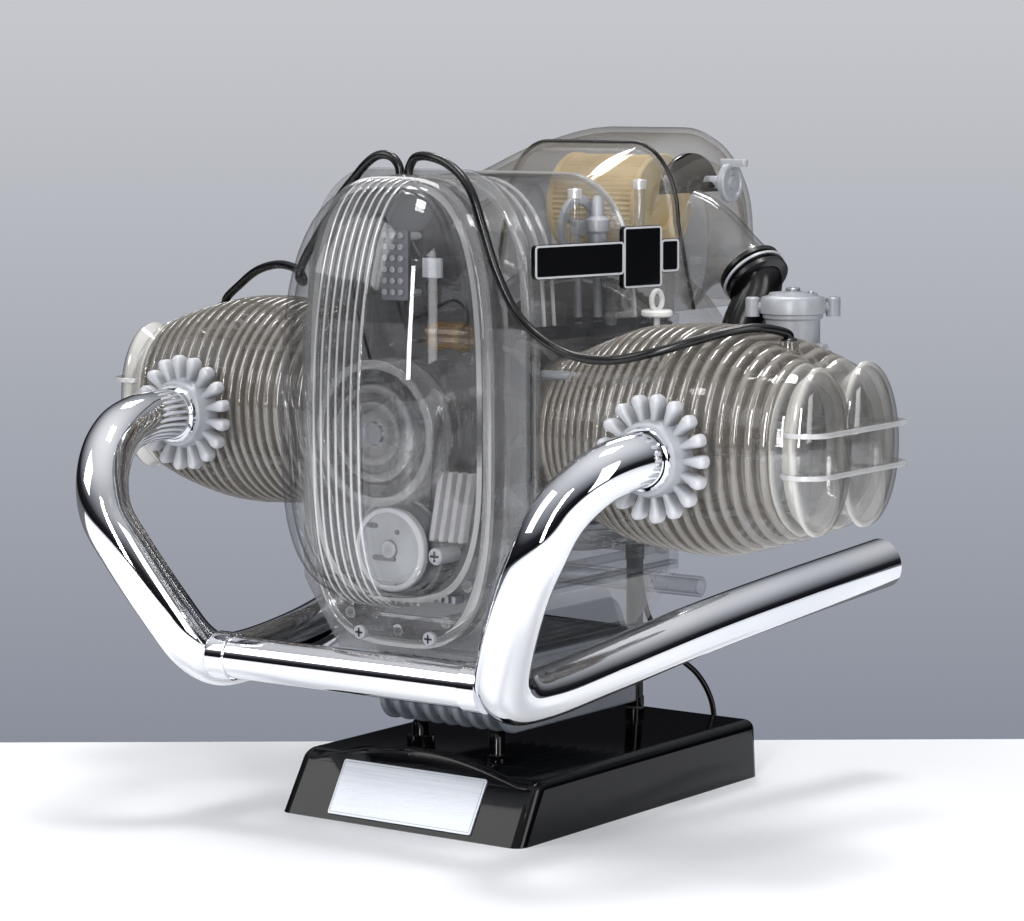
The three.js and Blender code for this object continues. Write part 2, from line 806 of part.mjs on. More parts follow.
function frontCover() {
  const outer = dome(0);
  const proud = dome(coverRibHeight);
  const hollow = dome(-coverWall, overrun);
  const ribs = [];
  for (let i = 0; i < coverRibCount; i += 1) {
    const x = (i - (coverRibCount - 1) / 2) * coverRibPitch;
    const sheet = block(x - coverRibWidth / 2, x + coverRibWidth / 2, timingFrontY - 2 * coverDepth,
      timingFrontY - gap, 0, crankHeight + 2 * coverTopRise);
    ribs.push(proud.intersect(sheet));
  }
  return cut(join(outer, ...ribs), hollow);
}
add(engine, 'front_cover', frontCover(), 'clear');

// Top cover and the two airbox shells: open below, each drawn through a row of arches
const archPoints = 5;

function arch(station, y, inset, skirt = 0) {
  const low = hoodBottom - (inset > 0 ? overrun : 0);
  const wide = station.halfWidth - inset;
  const shoulder = wide - station.lean;
  const [roundWidth, roundHeight] = [station.roundWidth - inset, station.roundHeight - inset];
  const top = hoodBottom + station.rise - inset;
  const points = [[wide, y, low]];
  for (let quarter = 0; quarter < 2; quarter += 1) {
    const middle = (quarter === 0 ? 1 : -1) * (shoulder - roundWidth);
    for (let i = 0; i <= archPoints; i += 1) {
      const angle = (quarter + i / archPoints) * Math.PI / 2;
      points.push([middle + roundWidth * Math.cos(angle), y,
        top - roundHeight + roundHeight * Math.sin(angle)]);
    }
  }
  points.push([-wide, y, low]);
  if (skirt > 0) {
    points.unshift([wide, y, low - skirt]);
    points.push([-wide, y, low - skirt]);
  }
  return points;
}

const lipArch = { halfWidth: caseHalfWidth, lean: 1, rise: topCoverLipRise, roundWidth: 29, roundHeight: 37 };
const middleArch = { halfWidth: topCoverHalfWidth, lean: 1, rise: topCoverRise, roundWidth: 29, roundHeight: 37 };
const seamArch = { halfWidth: airboxSeamHalfWidth, lean: 7, rise: airboxSeamRise, roundWidth: 20, roundHeight: 29 };
const bendArch = { halfWidth: airboxBendHalfWidth, lean: 2, rise: airboxBendRise, roundWidth: 28, roundHeight: 34 };
const rearArch = { halfWidth: airboxRearHalfWidth, lean: 3, rise: airboxRearRise, roundWidth: 24, roundHeight: 30 };

function topCover() {
  const lipRear = caseFrontY + topCoverLip;
  const lip = loft([arch(lipArch, caseFrontY, 0), arch(lipArch, lipRear, 0)]);
  const body = loft([arch(middleArch, caseFrontY + gap, 0), arch(middleArch, topCoverRearY, 0)]);
  const inner = loft([arch(middleArch, caseFrontY + hoodWall, hoodWall),
    arch(middleArch, topCoverRearY + overrun, hoodWall)]);
  return cut(join(lip, body), inner);
}

function airboxFront() {
  const start = topCoverRearY + gap;
  const outer = loft([arch(middleArch, start, 0), arch(seamArch, airboxSeamY, 0)]);
  const inner = loft([arch(middleArch, start + hoodWall, hoodWall),
    arch(seamArch, airboxSeamY + overrun, hoodWall)]);
  return cut(outer, inner);
}

function airboxRearBody() {
  return loft([arch(seamArch, airboxSeamY + gap, 0), arch(bendArch, airboxBendY, 0),
    arch(rearArch, airboxRearY, 0)]);
}

function airboxRear() {
  const inner = loft([arch(seamArch, airboxSeamY - overrun, hoodWall), arch(bendArch, airboxBendY, hoodWall),
    arch(rearArch, airboxRearY - hoodWall, hoodWall)]);
  const shaftHole = rod(chokeShaftRadius + gap, airboxRearHalfWidth - chokeShaftLength, airboxBendHalfWidth + gap,
    'x', [0, chokeY, crankHeight + chokeHeight], fewSides);
  return cut(airboxRearBody(), inner, shaftHole);
}

// The room that a piece outside the airbox keeps clear of
function airboxRoom() {
  const stations = [[middleArch, topCoverRearY], [seamArch, airboxSeamY], [bendArch, airboxBendY],
    [rearArch, airboxRearY + gap]];
  return loft(stations.map(([station, y]) => arch(station, y, -gap, ductMouthHalfHeight)));
}
add(engine, 'top_cover', topCover(), 'clear');
add(engine, 'airbox_front_shell', airboxFront(), 'smoke');
add(engine, 'airbox_rear_shell', airboxRear(), 'smoke');

// Air filter: a round pleated cartridge lying across the airbox, on a stalk from its seam wall
function airFilter() {
  const outline = [];
  for (let i = 0; i < 2 * filterPleats; i += 1) {
    const angle = Math.PI * i / filterPleats;
    const radius = filterRadius - (i % 2) * filterPleatDepth;
    outline.push([radius * Math.cos(angle), radius * Math.sin(angle)]);
  }
  const centreZ = hoodBottom + airboxSeamRise - filterDropFromTop;
  const centreY = airboxSeamY + filterRadius;
  const moved = outline.map(([y, z]) => [y + centreY, z + centreZ]);
  const drum = slab(moved, 'x', -filterLength / 2, filterLength / 2);
  return drum;
}
add(engine, 'air_filter', airFilter(), 'cream');

// Bell housing and the rear post that holds it
const bellFrontY = caseRearY + gap;
const bellRearY = bellFrontY + bellDepth;
const lugBottom = crankHeight - bellRadius - bellLugHeight / 2;

function bellHousing() {
  const centre = [0, 0, crankHeight];
  const cup = turned([[journalRadius + gap, bellFrontY], [bellRadius, bellFrontY], [bellRadius, bellRearY],
    [bellRadius - bellWall, bellRearY], [bellRadius - bellWall, bellFrontY + bellWall],
    [journalRadius + gap, bellFrontY + bellWall]], 'y', centre, manySides);
  const lug = block(-bellLugWidth / 2, bellLugWidth / 2, bellRearY - bellLugReach, rearPostY + rearPostRadius,
    lugBottom, lugBottom + bellLugHeight);
  return join(cup, lug);
}
add(engine, 'bell_housing', bellHousing(), 'clear');
add(engine, 'rear_post', rod(rearPostRadius, standHeight + gap, lugBottom - gap, 'z', [0, rearPostY, 0]),
  'black');

// Crankshaft in three pressed pieces; the pins between them ride in the rods' big ends
const webHalfGap = rodThickness / 2 + webSideClearance;

function web(from, to, pinSide) {
  const points = [];
  const turnSteps = 7;
  for (let i = 0; i <= turnSteps; i += 1) {
    const angle = Math.PI / 2 + (i / turnSteps) * Math.PI;
    points.push([-pinSide * -webRadius * Math.cos(angle), crankHeight + webRadius * Math.sin(angle)]);
  }
  for (let i = 0; i <= turnSteps; i += 1) {
    const angle = -Math.PI / 2 + (i / turnSteps) * Math.PI;
    const x = crankRadius + webHubRadius * Math.cos(angle) - webHubRadius / 2;
    points.push([pinSide * x, crankHeight + webHubRadius * Math.sin(angle)]);
  }
  return slab(points, 'y', from, to);
}

const frontWebRear = rightCylinderY - webHalfGap;
const frontWebFront = frontWebRear - webThickness;
const rearWebFront = leftCylinderY + webHalfGap;
const rearWebRear = rearWebFront + webThickness;
const sprocketY = timingRearY - caseWall - gap - sprocketThickness;
const crankCentre = [0, 0, crankHeight];
const rotorRearY = statorFrontY() - gap;
const flywheelY = bellFrontY + flywheelFrontGap;

function crankFront() {
  const journal = rod(journalRadius, sprocketY, frontWebFront + overrun, 'y', crankCentre);
  const sprocket = rod(crankSprocketRadius, sprocketY, sprocketY + sprocketThickness, 'y', crankCentre);
  const nose = rod(noseRadius, rotorRearY - rotorDepth, sprocketY + overrun, 'y', crankCentre);
  return join(web(frontWebFront, frontWebRear, 1), journal, sprocket, nose);
}

function crankMiddle() {
  const front = rightCylinderY + webHalfGap;
  const rear = leftCylinderY - webHalfGap;
  return join(web(front, (front + rear) / 2 + gap, 1), web((front + rear) / 2 - gap, rear, -1),
    rod(webHubRadius, front, rear, 'y', crankCentre));
}

function crankRear() {
  const tail = flywheelY + flywheelThickness + 2 * gap;
  const journal = rod(journalRadius, rearWebRear - overrun, caseRearY + gap, 'y', crankCentre);
  const stub = rod(journalRadius - gap, rearWebRear, tail, 'y', crankCentre);
  const flange = rod(webHubRadius, bellFrontY + bellWall + gap, flywheelY - gap, 'y', crankCentre);
  return join(web(rearWebFront, rearWebRear, -1), journal, stub, flange);
}

add(engine, 'crank_front', crankFront(), 'steel');
add(engine, 'crank_centre_web', crankMiddle(), 'steel');
add(engine, 'crank_rear', crankRear(), 'steel');

function flywheel() {
  return turned([[journalRadius, flywheelY], [flywheelRadius, flywheelY],
    [flywheelRadius, flywheelY + flywheelThickness],
    [flywheelRadius - flywheelThickness, flywheelY + flywheelThickness],
    [flywheelRadius - flywheelThickness, flywheelY + flywheelThickness - flywheelRimDepth],
    [journalRadius, flywheelY + flywheelThickness - flywheelRimDepth]], 'y', crankCentre, manySides);
}
add(engine, 'flywheel', flywheel(), 'steel');

const rotorRadius = statorInnerRadius - 2 * gap;
add(engine, 'generator_rotor', ring(rotorRadius, noseRadius + gap, rotorRearY - rotorDepth + gap,
  rotorRearY - gap, 'y', crankCentre), 'steel');
add(engine, 'generator_stator', ring(statorOuterRadius, statorInnerRadius, rotorRearY - statorDepth,
  rotorRearY, 'y', crankCentre, manySides), 'grey');

// Camshaft with its sprocket, one lobe for each valve
function camshaft() {
  const centre = [0, 0, camHeight];
  const shaft = rod(camRadius, sprocketY - gap, camRearY, 'y', centre, fewSides);
  const sprocket = rod(camSprocketRadius, sprocketY, sprocketY + sprocketThickness, 'y', centre);
  const lobes = [];
  for (const [y, side] of [[rightCylinderY, 1], [leftCylinderY, -1]]) {
    for (const half of [-1, 1]) {
      const middle = y + half * pushrodSide;
      const shape = [];
      for (let i = 0; i < holeSides; i += 1) {
        const angle = 2 * Math.PI * i / holeSides;
        const rise = lobeRise * Math.max(0, -side * Math.cos(angle + half)) ** 2;
        const radius = camRadius + lobeBase + rise;
        shape.push([radius * Math.cos(angle), camHeight + radius * Math.sin(angle)]);
      }
      lobes.push(slab(shape, 'y', middle - lobeWidth / 2, middle + lobeWidth / 2));
    }
  }
  return join(shaft, sprocket, ...lobes);
}
add(engine, 'camshaft', camshaft(), 'steel');

// Breaker plate in front of the cam, with three slots and a screw hole
function breakerPlate() {
  const y = statorFrontY() - gap - breakerThickness;
  const disc = rod(breakerRadius, y, y + breakerThickness, 'y', [0, 0, camHeight]);
  const cuts = [];
  for (let i = 0; i < 3; i += 1) {
    const angle = i * Math.PI / 3;
    const x = breakerRadius * breakerSlotShare * Math.cos(angle);
    const z = camHeight - breakerRadius * breakerSlotShare * Math.sin(angle);
    cuts.push(block(x - breakerSlotWidth, x + breakerSlotWidth, y - overrun, y + breakerThickness + overrun,
      z - breakerSlotWidth / 2, z + breakerSlotWidth / 2));
  }
  const above = rod(statorOuterRadius + gap, y - overrun, y + breakerThickness + overrun, 'y', crankCentre);
  const foot = block(-breakerSlotWidth, breakerSlotWidth, y, timingRearY - caseWall - gap,
    camHeight - breakerRadius + overrun, camHeight - breakerRadius + overrun + breakerSlotWidth);
  const sprocketRoom = rod(camSprocketRadius + gap, y + breakerThickness, timingRearY, 'y', [0, 0, camHeight]);
  return cut(join(disc, cut(foot, sprocketRoom)), ...cuts, above);
}
add(engine, 'breaker_plate', breakerPlate(), 'silver');

// One side of the engine, drawn for the right cylinder about its own axis
const finShareTable = [[0, 0.68], [0.09, 0.79], [0.24, 0.95], [0.42, 1], [0.55, 0.995], [0.62, 0.975],
  [0.72, 0.91], [0.8, 0.845], [0.87, 0.765], [0.94, 0.69], [1, 0.62]];

function shareAlong(x) {
  return (x - finFoot) / (coverTip - finFoot);
}

function finRadius(x) {
  return finMaxRadius * readTable(finShareTable, shareAlong(x));
}

function finStarts(from, to) {
  const count = Math.floor((to - from - finThickness) / finPitch);
  const pitch = (to - from - finThickness) / count;
  return Array.from({ length: count + 1 }, (_, i) => from + i * pitch);
}

function pushrodHoles() {
  return [-1, 1].map((half) => pushrodHole(2 * gap, half * pushrodSide, 1));
}

function barrel() {
  const profile = [[boreRadius, caseHalfWidth - spigotLength], [linerRadius, caseHalfWidth - spigotLength]];
  for (const x of finStarts(finFoot, barrelEnd)) {
    const radius = finRadius(x + finThickness / 2);
    profile.push([linerRadius, x], [radius, x], [radius, x + finThickness], [linerRadius, x + finThickness]);
  }
  profile.pop();
  profile.push([boreRadius, barrelEnd]);
  return cut(turned(profile, 'x'), ...pushrodHoles());
}

// The head grows flatter outwards and a valley opens between its two halves
function valleyAt(x, y) {
  return valleyDepth * readTable(valleyDepthShareTable, shareAlong(x)) * Math.exp(-((y / valleyHalfWidth) ** 2));
}

function headSection(x, inset, count = headSides) {
  const height = finRadius(x) - inset;
  const width = finMaxRadius * readTable(headWidthShareTable, shareAlong(x)) - inset;
  return rounded(width, height, height, headPower, count).map(([y, z]) => {
    const nearEdge = Math.abs(z) < height / 3;
    return [y, nearEdge ? z : z - Math.sign(z) * valleyAt(x, y)];
  });
}

function valvePlace(half, back) {
  const tip = new THREE.Vector3(rockerX - rockerValveArm * Math.sin(valveTilt), 0, 0);
  tip.y = half * (rockerSide + rockerValveArm * Math.cos(valveTilt));
  const inwards = new THREE.Vector3(-Math.cos(valveTilt), -half * Math.sin(valveTilt), 0);
  return tip.addScaledVector(inwards, back);
}

function chamberDome() {
  const radius = (boreRadius ** 2 + chamberHeight ** 2) / (2 * chamberHeight);
  const centre = headStart + chamberHeight - radius;
  const profile = [[0, headStart - overrun], [boreRadius, headStart - overrun]];
  const steps = 4;
  for (let i = 0; i <= steps; i += 1) {
    const x = THREE.MathUtils.lerp(headStart, headStart + chamberHeight, Math.sin(i / steps * Math.PI / 2));
    profile.push([Math.sqrt(Math.max(0, radius ** 2 - (x - centre) ** 2)), x]);
  }
  return turned(profile, 'x', [0, 0, 0], fewSides);
}

function head() {
  const fins = finStarts(headStart, headEnd).map((x) => slab(headSection(x + finThickness / 2, 0), 'x', x,
    x + finThickness));
  const coreRings = [0, 1, 2].map((i) => {
    const x = THREE.MathUtils.lerp(headStart, headEnd, i / 2);
    return headSection(x, (3 - i) * headCoreInset).map(([y, z]) => [x, y, z]);
  });
  const core = loft(coreRings);
  const exhaustBoss = rod(exhaustBossRadius, exhaustFaceY - exhaustBossReach, 0, 'y', [portX, 0, -portDrop],
    fewSides);
  const intakeBoss = rod(intakeBossRadius, 0, finMaxRadius + intakeBossReach, 'y', [portX, 0, intakeRise],
    fewSides);
  const exhaust = rod(portRadius, exhaustFaceY - exhaustBossReach - overrun, 0, 'y',
    [portX, 0, -portDrop], fewSides);
  const intake = rod(portRadius, 0, finMaxRadius + intakeBossReach + overrun, 'y',
    [portX, 0, intakeRise], fewSides);
  const boxFrom = headEnd - rockerBoxDepth;
  const rockerBox = slab(headSection(headEnd, rockerBoxWall), 'x', boxFrom, headEnd + overrun);
  const guides = [-1, 1].map((half) => bar(valveStemRadius + gap, valvePlace(half, 0),
    valvePlace(half, valveLength), holeSides));
  const plug = plugPlace();
  const roof = finRadius(headEnd) - rockerBoxWall - overrun;
  const plugBoss = rod(plugBossRadius, roof, plug[2], 'z', [plug[0], plug[1], 0], holeSides);
  const beyond = block(0, headStart, -2 * finMaxRadius, 2 * finMaxRadius, -2 * finMaxRadius, 2 * finMaxRadius);
  const body = cut(join(core, ...fins, exhaustBoss, intakeBoss), beyond);
  const hollowed = join(cut(body, chamberDome(), exhaust, intake, rockerBox), plugBoss);
  return cut(join(hollowed, ...rockerBrackets()), ...guides, ...pushrodHoles());
}

// The lead's socket stands in the valley on top of the head
function plugPlace() {
  return [plugX, plugSide, finRadius(plugX) - valleyAt(plugX, plugSide) + plugBossRise];
}

// Each rocker turns on an upright shaft held by an arm below and above its hub
function rockerBrackets() {
  const brackets = [];
  for (const half of [-1, 1]) {
    const y = half * rockerSide;
    const from = headEnd - rockerBoxDepth - overrun;
    const shaft = rod(rockerShaftRadius, rockerHubBottom - bracketThickness, rockerHubTop + bracketThickness,
      'z', [rockerX, y, 0], holeSides);
    const reach = rockerX + rockerShaftRadius;
    const arms = [rockerHubBottom - gap - bracketThickness, rockerHubTop + gap].map((z) => block(from, reach,
      y - rockerShaftRadius, y + rockerShaftRadius, z, z + bracketThickness));
    brackets.push(join(shaft, ...arms));
  }
  return brackets;
}

function rocker(half) {
  const y = half * rockerSide;
  const hub = rod(rockerHubRadius, rockerHubBottom, rockerHubTop, 'z', [rockerX, y, 0], fewSides);
  const bore = rod(rockerShaftRadius + gap, rockerHubBottom - overrun, rockerHubTop + overrun, 'z',
    [rockerX, y, 0], holeSides);
  const pushTip = new THREE.Vector3(rockerX, half * pushrodSide, -pushrodTopDrop);
  const valveTip = valvePlace(half, 0);
  const pushHub = new THREE.Vector3(rockerX, y, -pushrodTopDrop);
  const valveHub = new THREE.Vector3(rockerX, y, 0);
  const arms = [[pushHub, pushTip], [valveHub, valveTip]].map(([from, to]) => (
    bar(rockerArmWidth / 2, from, to, leastSides)));
  const tips = [pushTip, valveTip].map((tip) => rod(rockerTipRadius, tip.z - rockerTipRadius,
    tip.z + rockerTipRadius, 'z', [tip.x, tip.y, 0], holeSides));
  return cut(join(hub, ...arms, ...tips), bore);
}

function valve(half) {
  const turn = new THREE.Matrix4().makeRotationZ(half * valveTilt);
  const top = valvePlace(half, rockerTipRadius + gap);
  const length = valveLength - rockerTipRadius - gap;
  const cone = length - valveHeadThickness - valveConeHeight;
  const points = [[0, 0], [valveStemRadius, 0], [valveStemRadius, retainerThickness],
    [retainerRadius, retainerThickness], [retainerRadius, 2 * retainerThickness],
    [valveStemRadius, 2 * retainerThickness], [valveStemRadius, cone],
    [valveHeadRadius, length - valveHeadThickness], [valveHeadRadius, length], [0, length]];
  const profile = points.map(([radius, along]) => new THREE.Vector2(radius, -along));
  profile.push(profile[0].clone());
  const lathe = turnTo.x(new THREE.LatheGeometry(profile, holeSides)).applyMatrix4(turn);
  return solid(lathe.translate(top.x, top.y, top.z));
}

function pushrod(half) {
  const y = half * pushrodSide;
  const start = pushrodStart.clone().setY(y);
  const stop = pushrodStop.clone().setY(y);
  const foot = start.clone().addScaledVector(pushrodLine, tappetLength);
  return join(bar(pushrodRadius, start, stop, leastSides), bar(tappetRadius, start, foot, holeSides));
}

function valveCover() {
  const blockEnd = coverStart + coverBlockDepth;
  const base = (inset, from, to) => loft([from, to].map((x) => (
    headSection(x, inset).map(([y, z]) => [x, y, z]))));
  const lobe = (half, inset) => {
    const rings = [];
    for (const lift of [-lobeRoundShare, ...lobeLiftShares]) {
      const share = (1 - Math.abs(lift) ** lobePower) ** (1 / lobePower);
      const x = blockEnd + lift * (lobeLength - inset);
      rings.push(ellipse((lobeHalfWidth - inset) * share, (lobeHalfHeight - inset) * share, fewSides)
        .map(([y, z]) => [x, y + half * lobeSpacing / 2, z]));
    }
    return loft(rings);
  };
  const rails = [-1, 1].map((side) => {
    const z = side * railSpacing / 2;
    const half = lobeSpacing / 2 + lobeHalfWidth + railReach;
    const tip = coverTip + railReach;
    const corner = Math.min(lobeHalfWidth, (tip - coverStart) / 2 - gap);
    const outline = roundedBox(coverStart, tip, -half, half, corner, 3);
    return slab(outline, 'z', z - railThickness / 2, z + railThickness / 2);
  });
  const outer = join(base(0, coverStart, blockEnd), lobe(-1, 0), lobe(1, 0), ...rails);
  const clip = block(0, coverStart, -2 * finMaxRadius, 2 * finMaxRadius, -2 * finMaxRadius, 2 * finMaxRadius);
  const inner = [lobe(-1, valveCoverWall), lobe(1, valveCoverWall),
    base(valveCoverWall, coverStart - overrun, blockEnd - valveCoverWall)];
  return cut(outer, ...inner, clip);
}

function piston() {
  const radius = boreRadius - gap;
  const skirtX = pistonPinX - skirtLength;
  const body = turned([[0, crownX - crownThickness], [radius - skirtWall, crownX - crownThickness],
    [radius - skirtWall, skirtX], [radius, skirtX], [radius, crownX], [0, crownX]], 'x');
  const bossStart = rodThickness / 2 + gap;
  const bosses = [-1, 1].map((side) => {
    const near = side > 0 ? bossStart : -radius + skirtWall / 2;
    const far = side > 0 ? radius - skirtWall / 2 : -bossStart;
    return rod(2 * wristPinRadius, near, far, 'y', [pistonPinX, 0, 0], fewSides);
  });
  const grooveX = crownX - crownThickness;
  const groove = ring(radius + overrun, radius - 2 * gap, grooveX - overrun, grooveX, 'x', [0, 0, 0]);
  const pin = rod(wristPinRadius, -radius + skirtWall, radius - skirtWall, 'y', [pistonPinX, 0, 0], fewSides);
  return cut(join(body, ...bosses, pin), groove);
}

function conRod() {
  const half = rodThickness / 2;
  const bigEnd = rod(bigEndRadius, -half, half, 'y', [crankRadius, 0, 0]);
  const smallEnd = rod(smallEndRadius, -half, half, 'y', [pistonPinX, 0, 0], fewSides);
  const pinHole = rod(wristPinRadius + gap, -half - overrun, half + overrun, 'y', [pistonPinX, 0, 0], fewSides);
  const shank = block(crankRadius, pistonPinX, -half / 2, half / 2, -rodWidth / 2, rodWidth / 2);
  const reach = webHalfGap - gap;
  const crankPin = rod(pinRadius, -reach, reach, 'y', [crankRadius, 0, 0], fewSides);
  return join(cut(join(bigEnd, smallEnd, shank), pinHole), crankPin);
}

// Exhaust nut: a ring of petals round the pipe, seated over the head's boss
function exhaustNut() {
  const front = exhaustFaceY - exhaustBossReach - nutThickness + nutSeatDepth;
  const outline = [];
  for (let i = 0; i < nutFinCount; i += 1) {
    const middle = 2 * Math.PI * i / nutFinCount;
    const half = Math.PI / nutFinCount;
    const petal = [[nutRootRadius, -half * nutRootShare], [nutTipRadius, -half * nutFinShare],
      [nutTipRadius, half * nutFinShare], [nutRootRadius, half * nutRootShare]];
    for (const [radius, angle] of petal) {
      outline.push([portX + radius * Math.cos(middle + angle), radius * Math.sin(middle + angle) - portDrop]);
    }
  }
  const star = slab(outline, 'y', front, front + nutThickness);
  const collar = rod(nutRootRadius, front - nutSeatDepth, front + overrun, 'y', [portX, 0, -portDrop]);
  const bore = rod(headerRadius + nutBoreClearance, front - nutThickness, front + nutThickness + overrun, 'y',
    [portX, 0, -portDrop]);
  const seat = rod(exhaustBossRadius + gap, exhaustFaceY - exhaustBossReach - gap,
    front + nutThickness + overrun, 'y', [portX, 0, -portDrop]);
  return cut(join(star, collar), bore, seat);
}

function carburettor() {
  const centre = [carbX, carbY, 0];
  const bowl = turned([[0, carbBottom], [carbRadius * carbFootShare, carbBottom], [carbRadius, carbBottom + carbCapDome],
    [carbRadius, carbTop], [carbCapRadius, carbTop], [carbCapRadius, carbTop + carbCapHeight - carbCapDome],
    [carbCapRadius * carbDomeShare, carbTop + carbCapHeight - carbCapDome / 3], [0, carbTop + carbCapHeight]], 'z',
  centre, fewSides);
  const earSpan = 2 * (carbCapRadius + carbEarLength);
  const ears = new THREE.BoxGeometry(earSpan, carbEarHeight, carbEarHeight);
  ears.rotateZ(carbEarTurn);
  ears.translate(carbX, carbY, carbTop + carbEarHeight / 2);
  const inlet = rod(carbInletRadius, carbX - carbCapRadius - overrun, carbX, 'x',
    [0, carbY, carbInletHeight], fewSides);
  const face = finMaxRadius + intakeBossReach + gap;
  const [outwardShare, forwardShare] = carbOutletShares;
  const outlet = pipe(carbOutletRadius, [[carbX, carbY - gap, intakeRise + overrun],
    [THREE.MathUtils.lerp(carbX, portX, outwardShare), THREE.MathUtils.lerp(carbY, face, forwardShare),
      intakeRise + gap],
    [portX, face + overrun, intakeRise], [portX, face, intakeRise]], fewSides, 4);
  const flange = block(0, 2 * carbX, 0, face, carbBottom, carbTop);
  return join(bowl, solid(ears), inlet, cut(outlet, flange));
}

// Duct: a tall mouth on the airbox's side that narrows to a round end facing down and out
const ductNormal = ductFacing.clone().normalize();

function ductRings(inset, startShare, endShare) {
  const steps = 3;
  const rings = [];
  for (let i = 0; i <= steps; i += 1) {
    const share = THREE.MathUtils.lerp(startShare, endShare, i / steps);
    const held = THREE.MathUtils.clamp(share, 0, 1);
    const normal = new THREE.Vector3(1, 0, 0).lerp(ductNormal, held).normalize();
    const across = new THREE.Vector3().crossVectors(normal, new THREE.Vector3(0, 0, 1)).normalize();
    const upright = new THREE.Vector3().crossVectors(across, normal);
    const centre = new THREE.Vector3().lerpVectors(ductTop, ductEnd, share);
    const depth = THREE.MathUtils.lerp(ductMouthHalfDepth, ductEndRadius, held) - inset;
    const height = THREE.MathUtils.lerp(ductMouthHalfHeight, ductEndRadius, held) - inset;
    rings.push(ellipse(depth, height, fewSides).map(([a, b]) => centre.clone().addScaledVector(across, a)
      .addScaledVector(upright, b).toArray()));
  }
  return rings;
}

function duct(cylinderY) {
  const shell = cut(loft(ductRings(0, 0, 1)), loft(ductRings(ductWall, -ductOverrunShare, 1 + ductOverrunShare)));
  const room = geometryOf(airboxRoom(), false).translate(0, -cylinderY, -crankHeight);
  return cut(shell, solid(room));
}

function boot() {
  const start = ductEnd.clone().addScaledVector(ductNormal, gap);
  const second = start.clone().addScaledVector(ductNormal, bootRingWidth);
  const inletX = carbX - carbCapRadius - overrun - gap;
  const bend = new THREE.Vector3(inletX - bootRadius, carbY + overrun, carbInletHeight + bootRadius);
  const low = new THREE.Vector3(inletX - bootRadius * bootBendShare, carbY, carbInletHeight + overrun);
  const end = new THREE.Vector3(inletX, carbY, carbInletHeight);
  const route = [start, second, bend, low, end].map((point) => point.toArray());
  const first = start.clone().addScaledVector(ductNormal, -overrun).toArray();
  const last = [inletX + overrun, carbY, carbInletHeight];
  const hose = pipe(bootRadius, route, bootSides, bootSteps);
  const band = bar(bootRingRadius, start, second, fewSides);
  const bore = pipe(bootRadius - bootWall, [first, ...route.slice(1, -1), last], bootSides, bootSteps);
  const inletFace = block(inletX, carbX + carbCapRadius, carbY - 2 * bootRadius, carbY + 2 * bootRadius,
    carbBottom, carbTop + carbCapHeight);
  return cut(join(hose, band), bore, inletFace);
}

const sidesOfEngine = [['right', 1, rightCylinderY], ['left', -1, leftCylinderY]];
for (const [name, side, y] of sidesOfEngine) {
  const group = new THREE.Group();
  group.position.set(0, y, crankHeight);
  engine.add(group);
  const put = (node, body, material) => add(group, `${node}_${name}`, body, material, side < 0);
  put('cylinder', barrel(), 'smoke');
  put('cylinder_head', head(), 'smoke');
  put('valve_cover', valveCover(), 'clear');
  put('piston', piston(), 'silver');
  put('con_rod', conRod(), 'steel');
  put('exhaust_nut', exhaustNut(), 'silver');
  put('carburettor', carburettor(), 'silver');
  put('intake_duct', duct(y), 'clear');
  put('intake_boot', boot(), 'rubber');
  for (const [valveName, half] of [['exhaust', -1], ['intake', 1]]) {
    put(`${valveName}_rocker`, rocker(half), 'steel');
    put(`${valveName}_valve`, valve(half), 'steel');
    put(`${valveName}_pushrod`, pushrod(half), 'steel');
  }
}

// Header pipes: out of the head, down and round in front of the engine, then rearwards
const headerLowShares = [[0.7686, -0.9872, -0.5087], [0.6594, -0.924, -0.7688], [0.6026, -0.868, -0.9191],
  [0.5808, -0.792, -0.9884], [0.5808, -0.672, -1], [0.5939, -0.384, -0.9595], [0.6638, 0.0368, -0.8613],
  [0.7336, 0.4, -0.7861], [0.8035, 0.848, -0.711]];
const headerHighShares = {
  right: [[0.9913, -0.784, -0.0231], [0.9476, -0.88, -0.0751], [0.8821, -0.96, -0.2023],
    [0.8349, -0.9976, -0.3526]],
  left: [[0.9825, -0.64, -0.015], [0.959, -0.744, -0.0231], [0.9345, -0.84, -0.0578], [0.9048, -0.924, -0.1387],
    [0.8699, -0.98, -0.2543], [0.8314, -1, -0.3757]],
};

function headerPoint([outShare, forwardShare, riseShare]) {
  return [outShare * portX, forwardShare * headerReach, crankHeight + riseShare * headerDrop];
}

function header(name, cylinderY, radius, bore) {
  const mouth = cylinderY + exhaustFaceY - exhaustBossReach - gap;
  const height = crankHeight - portDrop;
  const route = [[portX, mouth, height], [portX, mouth - headerRadius / 2, height],
    ...[...headerHighShares[name], ...headerLowShares].map(headerPoint)];
  return pipe(radius, route, headerSides, headerSteps, bore);
}
const headerBore = headerRadius - headerWall;
add(engine, 'header_pipe_right', header('right', rightCylinderY, headerRadius, headerBore), 'chrome');
add(engine, 'header_pipe_left', header('left', leftCylinderY, headerRadius, headerBore), 'chrome', true);

function crossPipe() {
  const sleeve = crossPipeRadius + crossSleeveHeight;
  const half = crossPipeHalfLength;
  const profile = [[0, -half], [sleeve, -half], [sleeve, crossSleeveLength - half],
    [crossPipeRadius, crossSleeveLength - half], [crossPipeRadius, half - crossSleeveLength],
    [sleeve, half - crossSleeveLength], [sleeve, half], [0, half]];
  const height = crankHeight - headerDrop + crossPipeRise;
  const whole = turned(profile, 'x', [0, crossPipeSetback - headerReach, height]);
  const right = header('right', rightCylinderY, headerRadius + gap, 0);
  const left = header('left', leftCylinderY, headerRadius + gap, 0);
  return cut(whole, right, solid(geometryOf(left, true)));
}
add(engine, 'cross_pipe', crossPipe(), 'chrome');

